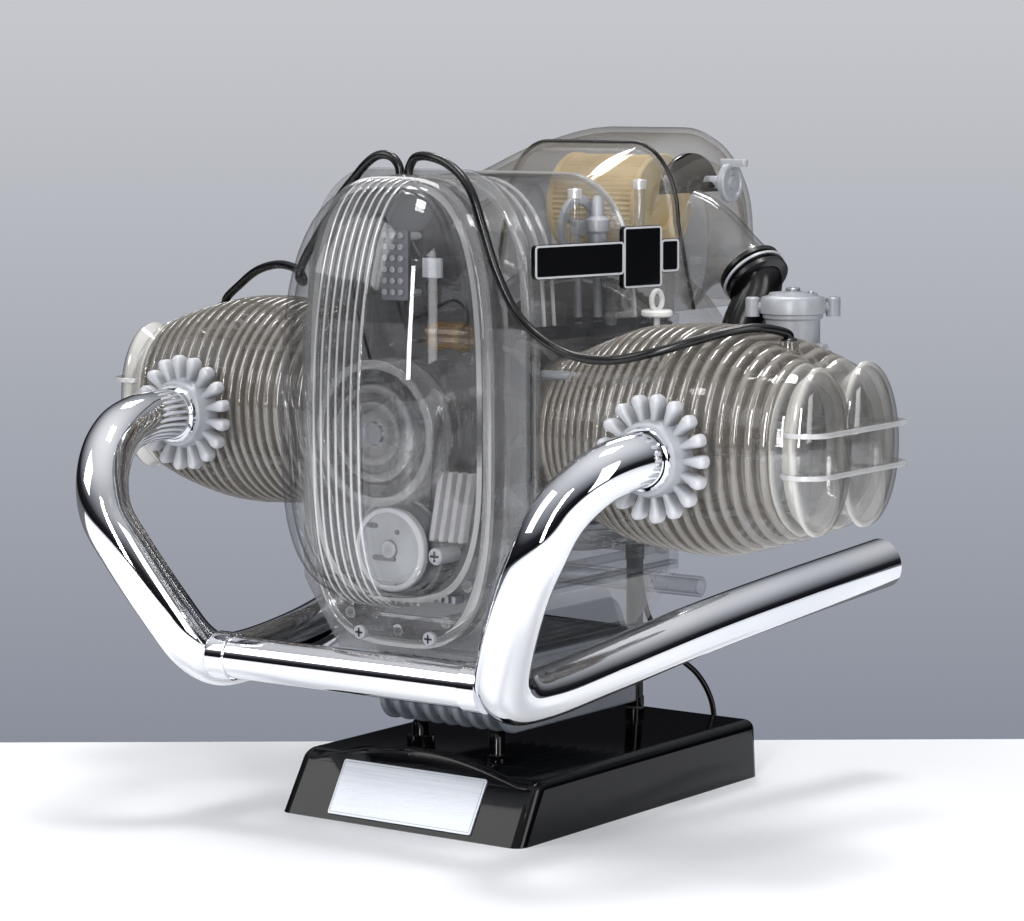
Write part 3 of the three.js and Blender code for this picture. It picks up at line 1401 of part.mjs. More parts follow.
// Badge: a bare plate with a taller block, on two stubs beside the top cover
function badge() {
  const block1 = new THREE.BoxGeometry(badgeThickness, badgeLength, badgeHeight);
  const tall = new THREE.BoxGeometry(badgeThickness, badgeBlockLength, badgeBlockHeight);
  tall.translate(0, badgeLength * badgeBlockShare, 0);
  const middleX = caseHalfWidth + badgeStandoff + Math.sin(badgeTurn) * badgeLength / 2;
  const z = crankHeight + badgeHeightAboveCrank;
  const place = (geometry) => solid(geometry.rotateZ(-badgeTurn).translate(middleX, badgeMiddleY, z));
  const stubs = [-1, 1].map((end) => {
    const y = badgeMiddleY + end * badgeStubSpread;
    const far = middleX + Math.tan(badgeTurn) * end * badgeStubSpread;
    return rod(badgeStubRadius, caseHalfWidth - 2 * hoodWall, far, 'x', [0, y, z], fewSides);
  });
  const lipRear = caseFrontY + topCoverLip + gap;
  const room = join(loft([arch(lipArch, caseFrontY - gap, -gap), arch(lipArch, lipRear, -gap)]),
    loft([arch(middleArch, caseFrontY, -gap), arch(middleArch, topCoverRearY, -gap),
      arch(seamArch, airboxSeamY, -gap)]));
  return cut(join(place(block1), place(tall), ...stubs), room);
}
add(engine, 'badge_plate', badge(), 'black');

// Choke lever on the airbox's right side
function chokeLever() {
  const z = crankHeight + chokeHeight;
  const discStart = airboxSeamHalfWidth + gap;
  const hub = rod(chokeHubRadius, discStart - chokeHubLength, discStart + overrun, 'x', [0, chokeY, z], fewSides);
  const shaft = rod(chokeShaftRadius, discStart - chokeShaftLength, discStart, 'x', [0, chokeY, z], fewSides);
  const disc = rod(chokeDiscRadius, discStart, discStart + chokeDiscThickness, 'x', [0, chokeY, z]);
  const top = z + chokeDiscRadius - chokeBarThickness / 2;
  const handle = block(discStart + chokeDiscThickness - chokeBarLength / 2,
    discStart + chokeDiscThickness + chokeBarLength / 2, chokeY - chokeBarThickness / 2,
    chokeY + chokeBarThickness / 2, top, top + chokeBarThickness);
  return join(hub, shaft, disc, handle);
}
add(engine, 'choke_lever', chokeLever(), 'silver');

// Dipstick: a round cap with a ring to pull and a long rod below
function dipstick() {
  const [x, y] = fillerPlace();
  const seat = caseTop + gap;
  const capTop = seat + dipstickDiscThickness;
  const cap = rod(dipstickDiscRadius, seat, capTop, 'z', [x, y, 0]);
  const stick = rod(dipstickRodRadius, seat - dipstickRodLength, seat + overrun, 'z', [x, y, 0], holeSides);
  const torus = new THREE.TorusGeometry(dipstickRingRadius, dipstickRingWire, 6, 14);
  torus.rotateY(Math.PI / 2);
  torus.translate(x, y, capTop + dipstickRingRadius);
  return join(cap, stick, solid(torus));
}
add(engine, 'dipstick', dipstick(), 'white');

// Ignition leads from the timing case's boss to each head, and the power lead behind
const leadStartZ = crankHeight + timingTopRise + grommetRise + gap;
const leadStartY = timingFrontY + timingDepth / 2;
const leadRoutes = {
  right: [[2.1, -72, 236], [3.1, -72.2, 238], [5.1, -72.8, 239.9], [8.5, -73.8, 240.8], [14.5, -75.4, 240.6],
    [21.3, -76.5, 238.9], [28.2, -77.5, 235.1], [34.1, -78.5, 229], [39.5, -79.5, 217.5], [46.5, -80, 200.8],
    [55, -80.2, 187.5], [66.4, -80, 178.8], [77, -77, 174], [88.9, -73.5, 173], [104.3, -71, 176],
    [116, -63.5, 180], [125, -55, 183], [131.5, -46.5, 184]],
  left: [[-2.1, -72, 236], [-3.1, -71.9, 238], [-5.1, -71.8, 239.9], [-8.5, -71.7, 241], [-13, -71.5, 240.4],
    [-17.8, -71.5, 237.4], [-23, -71.5, 232.4], [-29, -71.3, 226.6], [-36, -70.5, 217.8], [-47, -69.5, 204],
    [-55, -64, 196.5], [-63, -52, 193], [-72, -41, 193.3], [-82, -32, 195.8], [-96, -25.5, 197],
    [-112, -19.5, 194], [-126, -14, 187.5]],
};

function lead(name, side, cylinderY) {
  const [x, y, z] = plugPlace();
  const end = [side * x, y + cylinderY, z + crankHeight + gap];
  const start = [side * leadSpacing / 2, leadStartY, leadStartZ];
  const route = [start, ...leadRoutes[name], [end[0], end[1], end[2] + leadRadius], end];
  return pipe(leadRadius, route, leadSides, leadSteps);
}
add(engine, 'ignition_lead_right', lead('right', 1, rightCylinderY), 'rubber');
add(engine, 'ignition_lead_left', lead('left', -1, leftCylinderY), 'rubber');

const powerLeadRoute = [[14, 55, 87], [14.3, 55.3, 80], [16, 60, 60], [21, 69, 46], [26.5, 78, 36.5],
  [29.5, 82.5, 27], [30.5, 83.6, 18], [30.5, 82, 12], [30.5, 79.6, 10]];
add(engine, 'power_lead', pipe(powerLeadRadius, powerLeadRoute, leadSides, powerLeadSteps), 'rubber');

export default engine;
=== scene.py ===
"""Looks for a cutaway flat twin display engine on its stand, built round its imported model."""
import math

import bmesh
import bpy
from mathutils import Matrix, Vector


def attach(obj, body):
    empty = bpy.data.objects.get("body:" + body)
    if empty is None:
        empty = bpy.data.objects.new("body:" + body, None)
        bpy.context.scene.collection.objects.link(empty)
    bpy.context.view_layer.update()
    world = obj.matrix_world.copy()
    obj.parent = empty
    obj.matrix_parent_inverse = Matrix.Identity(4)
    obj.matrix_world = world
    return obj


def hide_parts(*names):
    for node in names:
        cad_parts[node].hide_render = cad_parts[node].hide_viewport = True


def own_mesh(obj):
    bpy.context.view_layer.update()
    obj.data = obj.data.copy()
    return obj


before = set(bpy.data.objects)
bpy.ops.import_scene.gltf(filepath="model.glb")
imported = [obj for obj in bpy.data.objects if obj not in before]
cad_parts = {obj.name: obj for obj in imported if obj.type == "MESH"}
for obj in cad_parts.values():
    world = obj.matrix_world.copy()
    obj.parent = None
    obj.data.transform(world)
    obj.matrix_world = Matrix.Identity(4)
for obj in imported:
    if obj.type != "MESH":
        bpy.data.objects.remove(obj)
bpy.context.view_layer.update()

# Layout of the engine in millimetres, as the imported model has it
MM = 0.001
CRANK_Z = 144
CAM_Z = 102
SIDES = {"right": (1, -37), "left": (-1, -12)}
CASE_FRONT, CASE_REAR = -65.7, 28
CASE_TOP = 181.2
HOOD_BOTTOM = 181.5
TIMING_FRONT, TIMING_REAR = -78, -66
COVER_BASE = -78.3
FIN_FOOT, BARREL_END = 52.5, 106
HEAD_START, HEAD_END = 106.3, 150
COVER_START, BLOCK_END, COVER_TIP = 150.3, 158.3, 167.3
FIN_RADIUS = 40
PORT_X, PORT_DROP = 114.5, 1.7
SOCKET_X, SOCKET_Y, PLUG_TOP = 136.3, 1.8, 179.5
BOLT_POST_X = 44.6
ROCKER_X, ROCKER_Y = 150.7, 12.8
BORE_RADIUS = 22.6


# Small mesh workshop: a form is a list of points in millimetres, its faces and the glow of each point, how
# strongly its finish paints a highlight there
class Form:
    def __init__(self, points=(), faces=(), glow=None):
        self.points = [tuple(p) for p in points]
        self.faces = [tuple(f) for f in faces]
        self.glow = list(glow) if glow else [0.0] * len(self.points)

    def __add__(self, other):
        shift = len(self.points)
        faces = self.faces + [tuple(i + shift for i in face) for face in other.faces]
        return Form(self.points + other.points, faces, self.glow + other.glow)

    def moved(self, place):
        return Form([place(Vector(p)) for p in self.points], self.faces, self.glow)

    # Gives every point the same glow, one amount of painted highlight
    def lit(self, amount):
        return Form(self.points, self.faces, [amount] * len(self.points))


def joined(forms):
    whole = Form()
    for form in forms:
        whole = whole + form
    return whole


def loft(rings, loop=False, glow=None):
    """A skin over rings of equal point count, closed at its ends or joined into a loop."""
    count = len(rings[0])
    faces = []
    for r in range(len(rings) if loop else len(rings) - 1):
        low, high = r * count, (r + 1) % len(rings) * count
        for i in range(count):
            j = (i + 1) % count
            faces.append((low + i, low + j, high + j, high + i))
    if not loop:
        faces.append(tuple(range(count))[::-1])
        faces.append(tuple(range((len(rings) - 1) * count, len(rings) * count)))
    light = [value for ring, value in zip(rings, glow) for _ in ring] if glow else None
    return Form([p for ring in rings for p in ring], faces, light)


def along(axis, a, u, v):
    return {"x": (a, u, v), "y": (u, a, v), "z": (u, v, a)}[axis]


def slab(outline, axis, start, end, edge=0.0):
    """A flat outline pushed along an axis, its rims rounded off by edge."""
    middle = [sum(p[k] for p in outline) / len(outline) for k in (0, 1)]
    reach = max(math.hypot(p[0] - middle[0], p[1] - middle[1]) for p in outline)

    def rim(place, inset):
        share = 1 - inset / reach
        return [along(axis, place, middle[0] + (u - middle[0]) * share, middle[1] + (v - middle[1]) * share)
                for u, v in outline]

    if not edge:
        return loft([rim(start, 0), rim(end, 0)])
    # Rounded rims get a glow of 0.6 and the flat sides 0.2: painted highlight along the rims
    return loft([rim(start, edge), rim(start + edge, 0), rim(end - edge, 0), rim(end, edge)],
                glow=[0.6, 0.2, 0.2, 0.6])


def angles(count, shift=0.0):
    return [2 * math.pi * (i + shift) / count for i in range(count)]


def circle(radius, count):
    return [(radius * math.cos(a), radius * math.sin(a)) for a in angles(count)]


def wheel(radii, u=0, v=0):
    """A round outline with a radius for each point, as on a knurl, a gear or a pleated drum."""
    return [(u + r * math.cos(a), v + r * math.sin(a)) for r, a in zip(radii, angles(len(radii)))]


def round_crank(a, corners):
    """Corners given as reach and side step, turned by an angle round the crank's axis."""
    return [(math.cos(a) * r - math.sin(a) * w, CRANK_Z + math.sin(a) * r + math.cos(a) * w)
            for r, w in corners]


def spoke(inner, outer, half):
    return (inner, -half), (outer, -half), (outer, half), (inner, half)


def off_crank(radius, a, y=0):
    """A place at a radius and an angle from the crank's axis."""
    return (radius * math.cos(a), y, CRANK_Z + radius * math.sin(a))


def stacked(axis, *shapes):
    """Rings from flat outlines, each with its place along an axis."""
    return [[along(axis, place, u, v) for u, v in shape] for shape, place in shapes]


def flat_ring(axis, outer, inner, low, high, glow=None):
    return loft(stacked(axis, (inner, low), (outer, low), (outer, high), (inner, high)), loop=True, glow=glow)


def crosses(places, front, back, reach, half):
    """Cross recesses of screws that face the front."""
    return joined(block(x - w, x + w, front, back, z - h, z + h)
                  for x, z in places for w, h in ((reach, half), (half, reach)))


def lathe(profile, axis, centre=(0, 0, 0), count=48, glow=None):
    """A solid of revolution; the profile is a closed list of radius and place along the axis."""
    unit = circle(1, count)
    rings = []
    for radius, place in profile:
        flat = [along(axis, place, radius * u, radius * v) for u, v in unit]
        rings.append([tuple(p[k] + centre[k] for k in range(3)) for p in flat])
    return loft(rings, loop=True, glow=glow)


# In rod and ring the rounded rims glow more than the faces: painted highlight along the rims
def rod(radius, start, end, axis, centre=(0, 0, 0), count=32, edge=0.3):
    return lathe([(0, start), (radius - edge, start), (radius, start + edge), (radius, end - edge),
                  (radius - edge, end), (0, end)], axis, centre, count, [0, 0.6, 0.2, 0.2, 0.6, 0])


def ring(outer, inner, start, end, axis, centre=(0, 0, 0), count=48, edge=0.3):
    return lathe([(inner, start + edge), (inner + edge, start), (outer - edge, start), (outer, start + edge),
                  (outer, end - edge), (outer - edge, end), (inner + edge, end), (inner, end - edge)], axis,
                 centre, count, [0.2, 0.6, 0.6, 0.2, 0.2, 0.6, 0.6, 0.2])


def block(x0, x1, y0, y1, z0, z1):
    corners = [(x0, y0), (x1, y0), (x1, y1), (x0, y1)]
    return loft([[(x, y, z) for x, y in corners] for z in (z0, z1)])


def spline(route, steps=10):
    """A smooth curve through every point of the route, with knots spaced by the root of each span."""
    points = [Vector(p) for p in route]
    ends = [points[0] * 2 - points[1]] + points + [points[-1] * 2 - points[-2]]
    out = []
    for a, b, c, d in zip(ends, ends[1:], ends[2:], ends[3:]):
        first, second, third = (max((q - p).length ** 0.5, 1e-4) for p, q in ((a, b), (b, c), (c, d)))
        leave = ((b - a) / first - (c - a) / (first + second) + (c - b) / second) * second
        arrive = ((c - b) / second - (d - b) / (second + third) + (d - c) / third) * second
        for i in range(steps):
            t = i / steps
            out.append(b + leave * t + (3 * (c - b) - 2 * leave - arrive) * t * t
                       + (2 * (b - c) + leave + arrive) * t ** 3)
    return out + [points[-1]]


def tube(path, radius, count=16, bore=0.0):
    """A round bar along a path, hollow when a bore is given; radius may be a list, one for each point."""
    radii = radius if isinstance(radius, list) else [radius] * len(path)
    heading = (path[1] - path[0]).normalized()
    side = heading.cross(Vector((0.3, 0.2, 1))).normalized()
    outer, inner = [], []
    for i, point in enumerate(path):
        ahead = path[min(i + 1, len(path) - 1)] - path[max(i - 1, 0)]
        turned = heading.rotation_difference(ahead.normalized())
        side = (turned @ side).normalized()
        heading = ahead.normalized()
        up = heading.cross(side)
        for rings, size in ((outer, radii[i]), (inner, bore)):
            rings.append([tuple(point + side * u + up * v) for u, v in circle(size, count)] if size else None)
    if not bore:
        return loft(outer)
    glow = [0.0] * (2 * len(path))
    glow[0] = glow[len(path) - 1] = glow[len(path)] = glow[-1] = 1.0
    return loft(outer + inner[::-1], loop=True, glow=glow)


def bar(radius, start, end, count=16):
    return tube([Vector(start), Vector(start).lerp(Vector(end), 0.5), Vector(end)], radius, count)


def rounded_box(x0, x1, y0, y1, corner, steps=6):
    points = []
    centres = [(x1 - corner, y1 - corner), (x0 + corner, y1 - corner), (x0 + corner, y0 + corner),
               (x1 - corner, y0 + corner)]
    for quarter, (cx, cy) in enumerate(centres):
        for i in range(steps + 1):
            angle = (quarter + i / steps) * math.pi / 2
            points.append((cx + corner * math.cos(angle), cy + corner * math.sin(angle)))
    return points


def rounded(half_width, rise, drop, power, count):
    """An outline between an ellipse and a box: the higher the power, the squarer."""
    points = []
    for a in angles(count):
        c, s = math.cos(a), math.sin(a)
        high = rise if s > 0 else drop
        points.append((math.copysign(half_width * abs(c) ** (2 / power), c),
                       math.copysign(high * abs(s) ** (2 / power), s)))
    return points


def blend(low, high, share):
    return low + (high - low) * share


def read_table(table, share):
    for (start, low), (end, high) in zip(table, table[1:]):
        if share <= end:
            return blend(low, high, (share - start) / (end - start))
    return table[-1][1]


def piece(name, form, material, body="engine", nodes=(), bevel=0.0, sharp=35):
    """Turns a form into a Blender object that rides on a body and stands for its nodes."""
    mesh = bpy.data.meshes.new(name)
    mesh.from_pydata([tuple(c * MM for c in p) for p in form.points], [], form.faces)
    # The glow is kept as the mesh attribute named edge; the finishes paint a highlight where it is high
    mesh.attributes.new("edge", "FLOAT", "POINT").data.foreach_set("value", form.glow)
    bench = bmesh.new()
    bench.from_mesh(mesh)
    bmesh.ops.remove_doubles(bench, verts=bench.verts, dist=0.002 * MM)
    bmesh.ops.dissolve_degenerate(bench, edges=bench.edges, dist=0.001 * MM)
    bmesh.ops.recalc_face_normals(bench, faces=bench.faces)
    bench.to_mesh(mesh)
    bench.free()
    mesh.shade_smooth()
    mesh.set_sharp_from_angle(angle=math.radians(sharp))
    mesh.materials.append(material)
    made = bpy.data.objects.new(name, mesh)
    bpy.context.scene.collection.objects.link(made)
    if bevel:
        softened = made.modifiers.new("Softened edges", "BEVEL")
        softened.width = bevel * MM
        softened.segments = 3
        softened.limit_method = "ANGLE"
        softened.angle_limit = math.radians(sharp)
        softened.harden_normals = True
    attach(made, body)
    if nodes:
        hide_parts(*nodes)
    return made


# Camera, at the picture's viewing angle
CAMERA_AZIMUTH, CAMERA_ELEVATION, CAMERA_ROLL = (math.radians(a) for a in (36.01, 6.6, -0.14))
CAMERA_TARGET = Vector((-0.00577, 0, 0.12551))
CAMERA_DISTANCE = 1.31566
CAMERA_LENS, CAMERA_SENSOR = 123.94, 36


def make_camera():
    az, el, roll = CAMERA_AZIMUTH, CAMERA_ELEVATION, CAMERA_ROLL
    back = Vector((math.sin(az) * math.cos(el), -math.cos(az) * math.cos(el), math.sin(el)))
    right = Vector((math.cos(az), math.sin(az), 0))
    up = back.cross(right)
    right, up = right * math.cos(roll) + up * math.sin(roll), up * math.cos(roll) - right * math.sin(roll)
    data = bpy.data.cameras.new("Camera")
    data.sensor_fit, data.sensor_width, data.lens = "HORIZONTAL", CAMERA_SENSOR, CAMERA_LENS
    camera = bpy.data.objects.new("Camera", data)
    camera.matrix_world = Matrix((right, up, back)).transposed().to_4x4()
    camera.matrix_world.translation = CAMERA_TARGET + back * CAMERA_DISTANCE
    bpy.context.scene.collection.objects.link(camera)
    bpy.context.scene.camera = camera


make_camera()


# Shared shader effects
def start_group(name, inputs, outputs):
    group = bpy.data.node_groups.new(name, "ShaderNodeTree")
    for label, value in inputs.items():
        group.interface.new_socket(label, in_out="INPUT", socket_type="NodeSocketFloat").default_value = value
    for label in outputs:
        group.interface.new_socket(label, in_out="OUTPUT", socket_type="NodeSocketFloat")
    return group, group.nodes.new("NodeGroupInput"), group.nodes.new("NodeGroupOutput")


def make_grain_group():
    """Slow tone drift and fine grain over a moulded or cast surface."""
    group, given, made = start_group("Moulded grain", {"Drift scale": 20, "Grain scale": 900},
                                     ("Drift", "Grain"))
    place = group.nodes.new("ShaderNodeTexCoord")
    for label in ("Drift", "Grain"):
        noise = group.nodes.new("ShaderNodeTexNoise")
        noise.inputs["Detail"].default_value = 3
        group.links.new(place.outputs["Object"], noise.inputs["Vector"])
        group.links.new(given.outputs[f"{label} scale"], noise.inputs["Scale"])
        group.links.new(noise.outputs["Fac"], made.inputs[label])
    return group


def make_rim_highlight_group():
    """Painted highlight along rims: the glow of each point, read from the mesh."""
    group, given, made = start_group("Painted rim highlight", {"Strength": 1}, ("Rim",))
    rim = group.nodes.new("ShaderNodeAttribute")
    rim.attribute_name = "edge"
    scaled = group.nodes.new("ShaderNodeMath")
    scaled.operation = "MULTIPLY"
    scaled.use_clamp = True
    group.links.new(rim.outputs["Fac"], scaled.inputs[0])
    group.links.new(given.outputs["Strength"], scaled.inputs[1])
    group.links.new(scaled.outputs[0], made.inputs["Rim"])
    return group


def make_brush_group():
    """Fine parallel strokes along X, as on brushed sheet."""
    group, given, made = start_group("Brushed strokes", {"Stroke scale": 700}, ("Stroke",))
    place = group.nodes.new("ShaderNodeTexCoord")
    stretch = group.nodes.new("ShaderNodeVectorMath")
    stretch.operation = "MULTIPLY"
    stretch.inputs[1].default_value = (0.02, 1, 1)
    noise = group.nodes.new("ShaderNodeTexNoise")
    group.links.new(place.outputs["Object"], stretch.inputs[0])
    group.links.new(stretch.outputs["Vector"], noise.inputs["Vector"])
    group.links.new(given.outputs["Stroke scale"], noise.inputs["Scale"])
    group.links.new(noise.outputs["Fac"], made.inputs["Stroke"])
    return group


GRAIN, RIM_HIGHLIGHT, BRUSH = make_grain_group(), make_rim_highlight_group(), make_brush_group()


def colour(value):
    """A colour from display values between 0 and 1."""
    return tuple(((c + 0.055) / 1.055) ** 2.4 if c > 0.04 else c / 12.92 for c in value) + (1,)


class Finish:
    """A material with a Principled shader and the shared effects placed in it."""

    def __init__(self, name):
        self.material = bpy.data.materials.new(name)
        self.material.use_nodes = True
        self.tree = self.material.node_tree
        self.shader = self.tree.nodes["Principled BSDF"]

    def node(self, kind, **settings):
        made = self.tree.nodes.new(kind)
        for key, value in settings.items():
            setattr(made, key, value)
        return made

    def group(self, group, **values):
        made = self.node("ShaderNodeGroup", node_tree=group)
        for label, value in values.items():
            made.inputs[label.replace("_", " ")].default_value = value
        return made

    def mix(self, factor, first, second):
        made = self.node("ShaderNodeMix", data_type="RGBA")
        self.tree.links.new(factor, made.inputs["Factor"])
        for socket, value in ((made.inputs[6], first), (made.inputs[7], second)):
            if isinstance(value, tuple):
                socket.default_value = value
            else:
                self.tree.links.new(value, socket)
        return made.outputs[2]

    def spread(self, value, low, high, start=0.3, end=0.7):
        made = self.node("ShaderNodeMapRange")
        self.tree.links.new(value, made.inputs["Value"])
        for label, number in (("From Min", start), ("From Max", end), ("To Min", low), ("To Max", high)):
            made.inputs[label].default_value = number
        return made.outputs["Result"]

    def maths(self, operation, first, second):
        made = self.node("ShaderNodeMath", operation=operation, use_clamp=True)
        for socket, value in zip(made.inputs, (first, second)):
            if isinstance(value, (int, float)):
                socket.default_value = value
            else:
                self.tree.links.new(value, socket)
        return made.outputs[0]

    def feed(self, label, value):
        self.tree.links.new(value, self.shader.inputs[label])

    def bump(self, height, strength, depth=0.0002):
        made = self.node("ShaderNodeBump")
        made.inputs["Strength"].default_value = strength
        made.inputs["Distance"].default_value = depth
        self.tree.links.new(height, made.inputs["Height"])
        self.feed("Normal", made.outputs["Normal"])

    def set(self, **values):
        for label, value in values.items():
            self.shader.inputs[label.replace("_", " ")].default_value = value


def solid_finish(name, dark, light, rough, drift=25, grain=900, bump=0.1, rim=None, **sockets):
    """An opaque finish whose tone, gloss and grain vary over the surface; given a rim colour, its rims are
    painted lighter as a painted highlight.
    """
    made = Finish(name)
    surface = made.group(GRAIN, Drift_scale=drift, Grain_scale=grain)
    base = made.mix(made.spread(surface.outputs["Drift"], 0, 1), colour(dark), colour(light))
    if rim:
        # Painted highlight: the rims turn to the lighter rim colour by their glow
        base = made.mix(made.group(RIM_HIGHLIGHT, Strength=0.6).outputs["Rim"], base, colour(rim))
    made.feed("Base Color", base)
    made.feed("Roughness", made.spread(surface.outputs["Drift"], *rough))
    made.bump(surface.outputs["Grain"], bump)
    made.set(**sockets)
    return made.material


def clear_finish(name, body, rim, face_cover, edge_cover, ior=4.0, curve=2.2, rim_cover=0.85):
    """Clear plastic: faint face on, dense where it turns away, and painted lighter along its moulded edges as
    a painted highlight.
    """
    made = Finish(name)
    surface = made.group(GRAIN, Drift_scale=18, Grain_scale=260)
    painted_rim = made.group(RIM_HIGHLIGHT, Strength=1.0).outputs["Rim"]
    tone = made.mix(made.spread(surface.outputs["Drift"], 0, 1), colour([c * 0.86 for c in body]),
                    colour(body))
    # Painted highlight: the colour turns to the lighter rim colour where the mesh glows, and the alpha rises
    # there
    made.feed("Base Color", made.mix(painted_rim, tone, colour(rim)))
    made.feed("Roughness", made.spread(surface.outputs["Drift"], 0.015, 0.05))
    turning = made.node("ShaderNodeLayerWeight")
    turning.inputs["Blend"].default_value = 0.5
    bent = made.maths("POWER", turning.outputs["Facing"], curve)
    cover = made.spread(bent, face_cover, edge_cover, 0, 1)
    made.feed("Alpha", made.maths("MAXIMUM", cover, made.maths("MULTIPLY", painted_rim, rim_cover)))
    made.bump(surface.outputs["Grain"], 0.012)
    made.set(IOR=ior)
    return made.material


def make_label_finish():
    made = Finish("Brushed label sheet")
    stroke = made.group(BRUSH, Stroke_scale=900).outputs["Stroke"]
    dark, light = colour((0.66, 0.68, 0.71)), colour((0.8, 0.81, 0.83))
    made.feed("Base Color", made.mix(made.spread(stroke, 0, 1), dark, light))
    made.feed("Roughness", made.spread(stroke, 0.28, 0.42))
    made.set(Metallic=0.75)
    return made.material


# In the finishes below, the second colour of a clear finish and the rim colour of a solid one are painted
# highlights along rims
CLEAR = clear_finish("Clear cover plastic", (0.16, 0.16, 0.16), (0.84, 0.84, 0.84), 0.08, 0.6, rim_cover=0.62)
CASE_CLEAR = clear_finish("Clear case plastic", (0.2, 0.2, 0.2), (0.66, 0.66, 0.66), 0.09, 0.64,
                          rim_cover=0.5)
SMOKE = clear_finish("Smoky airbox plastic", (0.5, 0.47, 0.42), (0.62, 0.6, 0.57), 0.15, 0.55, rim_cover=0.45)
FIN = clear_finish("Smoky fin plastic", (0.5, 0.475, 0.44), (0.63, 0.605, 0.57), 0.36, 0.93, ior=2.6,
                   curve=1.6, rim_cover=0.7)
LOBE = clear_finish("Clear valve cover plastic", (0.36, 0.35, 0.33), (0.9, 0.89, 0.86), 0.13, 0.78,
                    rim_cover=0.75)
PLATE = clear_finish("Grey bearing plate", (0.31, 0.31, 0.32), (0.64, 0.64, 0.65), 0.4, 0.95, ior=2.0,
                     rim_cover=0.7)
INNER = clear_finish("Grey inner plastic", (0.36, 0.36, 0.37), (0.82, 0.82, 0.83), 0.22, 0.85, ior=2.4,
                     rim_cover=0.6)
AMBER = clear_finish("Amber capacitor plastic", (0.5, 0.37, 0.17), (0.9, 0.74, 0.44), 0.16, 0.92, ior=2.5,
                     curve=1.8)
CHROME = solid_finish("Bright chrome plate", (0.9, 0.91, 0.93), (0.97, 0.97, 0.98), (0.025, 0.06), 12, 500,
                      0.01, Metallic=1.0)
SATIN = solid_finish("Satin silver plastic", (0.56, 0.57, 0.59), (0.66, 0.67, 0.69), (0.3, 0.42), 60, 1400,
                     0.12, rim=(0.84, 0.84, 0.86), Metallic=0.1)
METAL = solid_finish("Grey metallic plastic", (0.5, 0.51, 0.53), (0.62, 0.63, 0.65), (0.26, 0.4), 50, 1200,
                     0.1, rim=(0.85, 0.85, 0.87), Metallic=0.55)
SUMP = solid_finish("Grey cast plastic", (0.38, 0.4, 0.43), (0.47, 0.49, 0.52), (0.32, 0.5), 40, 1100, 0.25,
                    rim=(0.66, 0.67, 0.7))
BLACK = solid_finish("Gloss black stand plastic", (0.01, 0.011, 0.016), (0.025, 0.027, 0.034), (0.05, 0.11),
                     15, 700, 0.03, IOR=1.34)
RUBBER = solid_finish("Black lead rubber", (0.018, 0.018, 0.022), (0.045, 0.045, 0.05), (0.17, 0.3), 80, 1500,
                      0.1)
PAPER = solid_finish("Cream pleated paper", (0.86, 0.74, 0.5), (0.97, 0.88, 0.68), (0.7, 0.9), 90, 1600, 0.3,
                     rim=(1.0, 0.93, 0.76))
WHITE = solid_finish("White moulded plastic", (0.88, 0.88, 0.87), (0.95, 0.95, 0.94), (0.2, 0.34), 40, 1000,
                     0.06)
BOARD = solid_finish("Dark circuit board", (0.09, 0.09, 0.11), (0.16, 0.16, 0.19), (0.35, 0.5), 90, 1500, 0.2,
                     rim=(0.6, 0.6, 0.64))
LABEL = make_label_finish()


# Stage: a pale table top with soft studio light from above and both sides
TABLE_BEHIND, TABLE_AHEAD, TABLE_HALF, TABLE_THICK = 0.105, 2.4, 1.9, 0.3


def make_table():
    outline = [(-TABLE_HALF, -TABLE_AHEAD), (TABLE_HALF, -TABLE_AHEAD), (TABLE_HALF, TABLE_BEHIND),
               (-TABLE_HALF, TABLE_BEHIND)]
    top = slab(outline, "z", -TABLE_THICK, 0)
    mesh = bpy.data.meshes.new("Table top")
    mesh.from_pydata(top.points, [], top.faces)
    mesh.materials.append(solid_finish("Pale table top", (0.93, 0.935, 0.945), (0.96, 0.965, 0.975),
                                       (0.45, 0.6), 3, 120, 0.02))
    table = bpy.data.objects.new("Table top", mesh)
    table.rotation_euler.z = CAMERA_AZIMUTH + math.radians(0.3)
    softened = table.modifiers.new("Softened edges", "BEVEL")
    softened.width, softened.segments = 0.004, 3
    bpy.context.scene.collection.objects.link(table)


def make_light(name, place, target, size, power):
    data = bpy.data.lights.new(name, "AREA")
    data.shape, data.size, data.size_y = "RECTANGLE", size[0], size[1]
    data.energy = power
    lamp = bpy.data.objects.new(name, data)
    lamp.location = place
    lamp.rotation_euler = (Vector(target) - Vector(place)).to_track_quat("-Z", "Y").to_euler()
    bpy.context.scene.collection.objects.link(lamp)


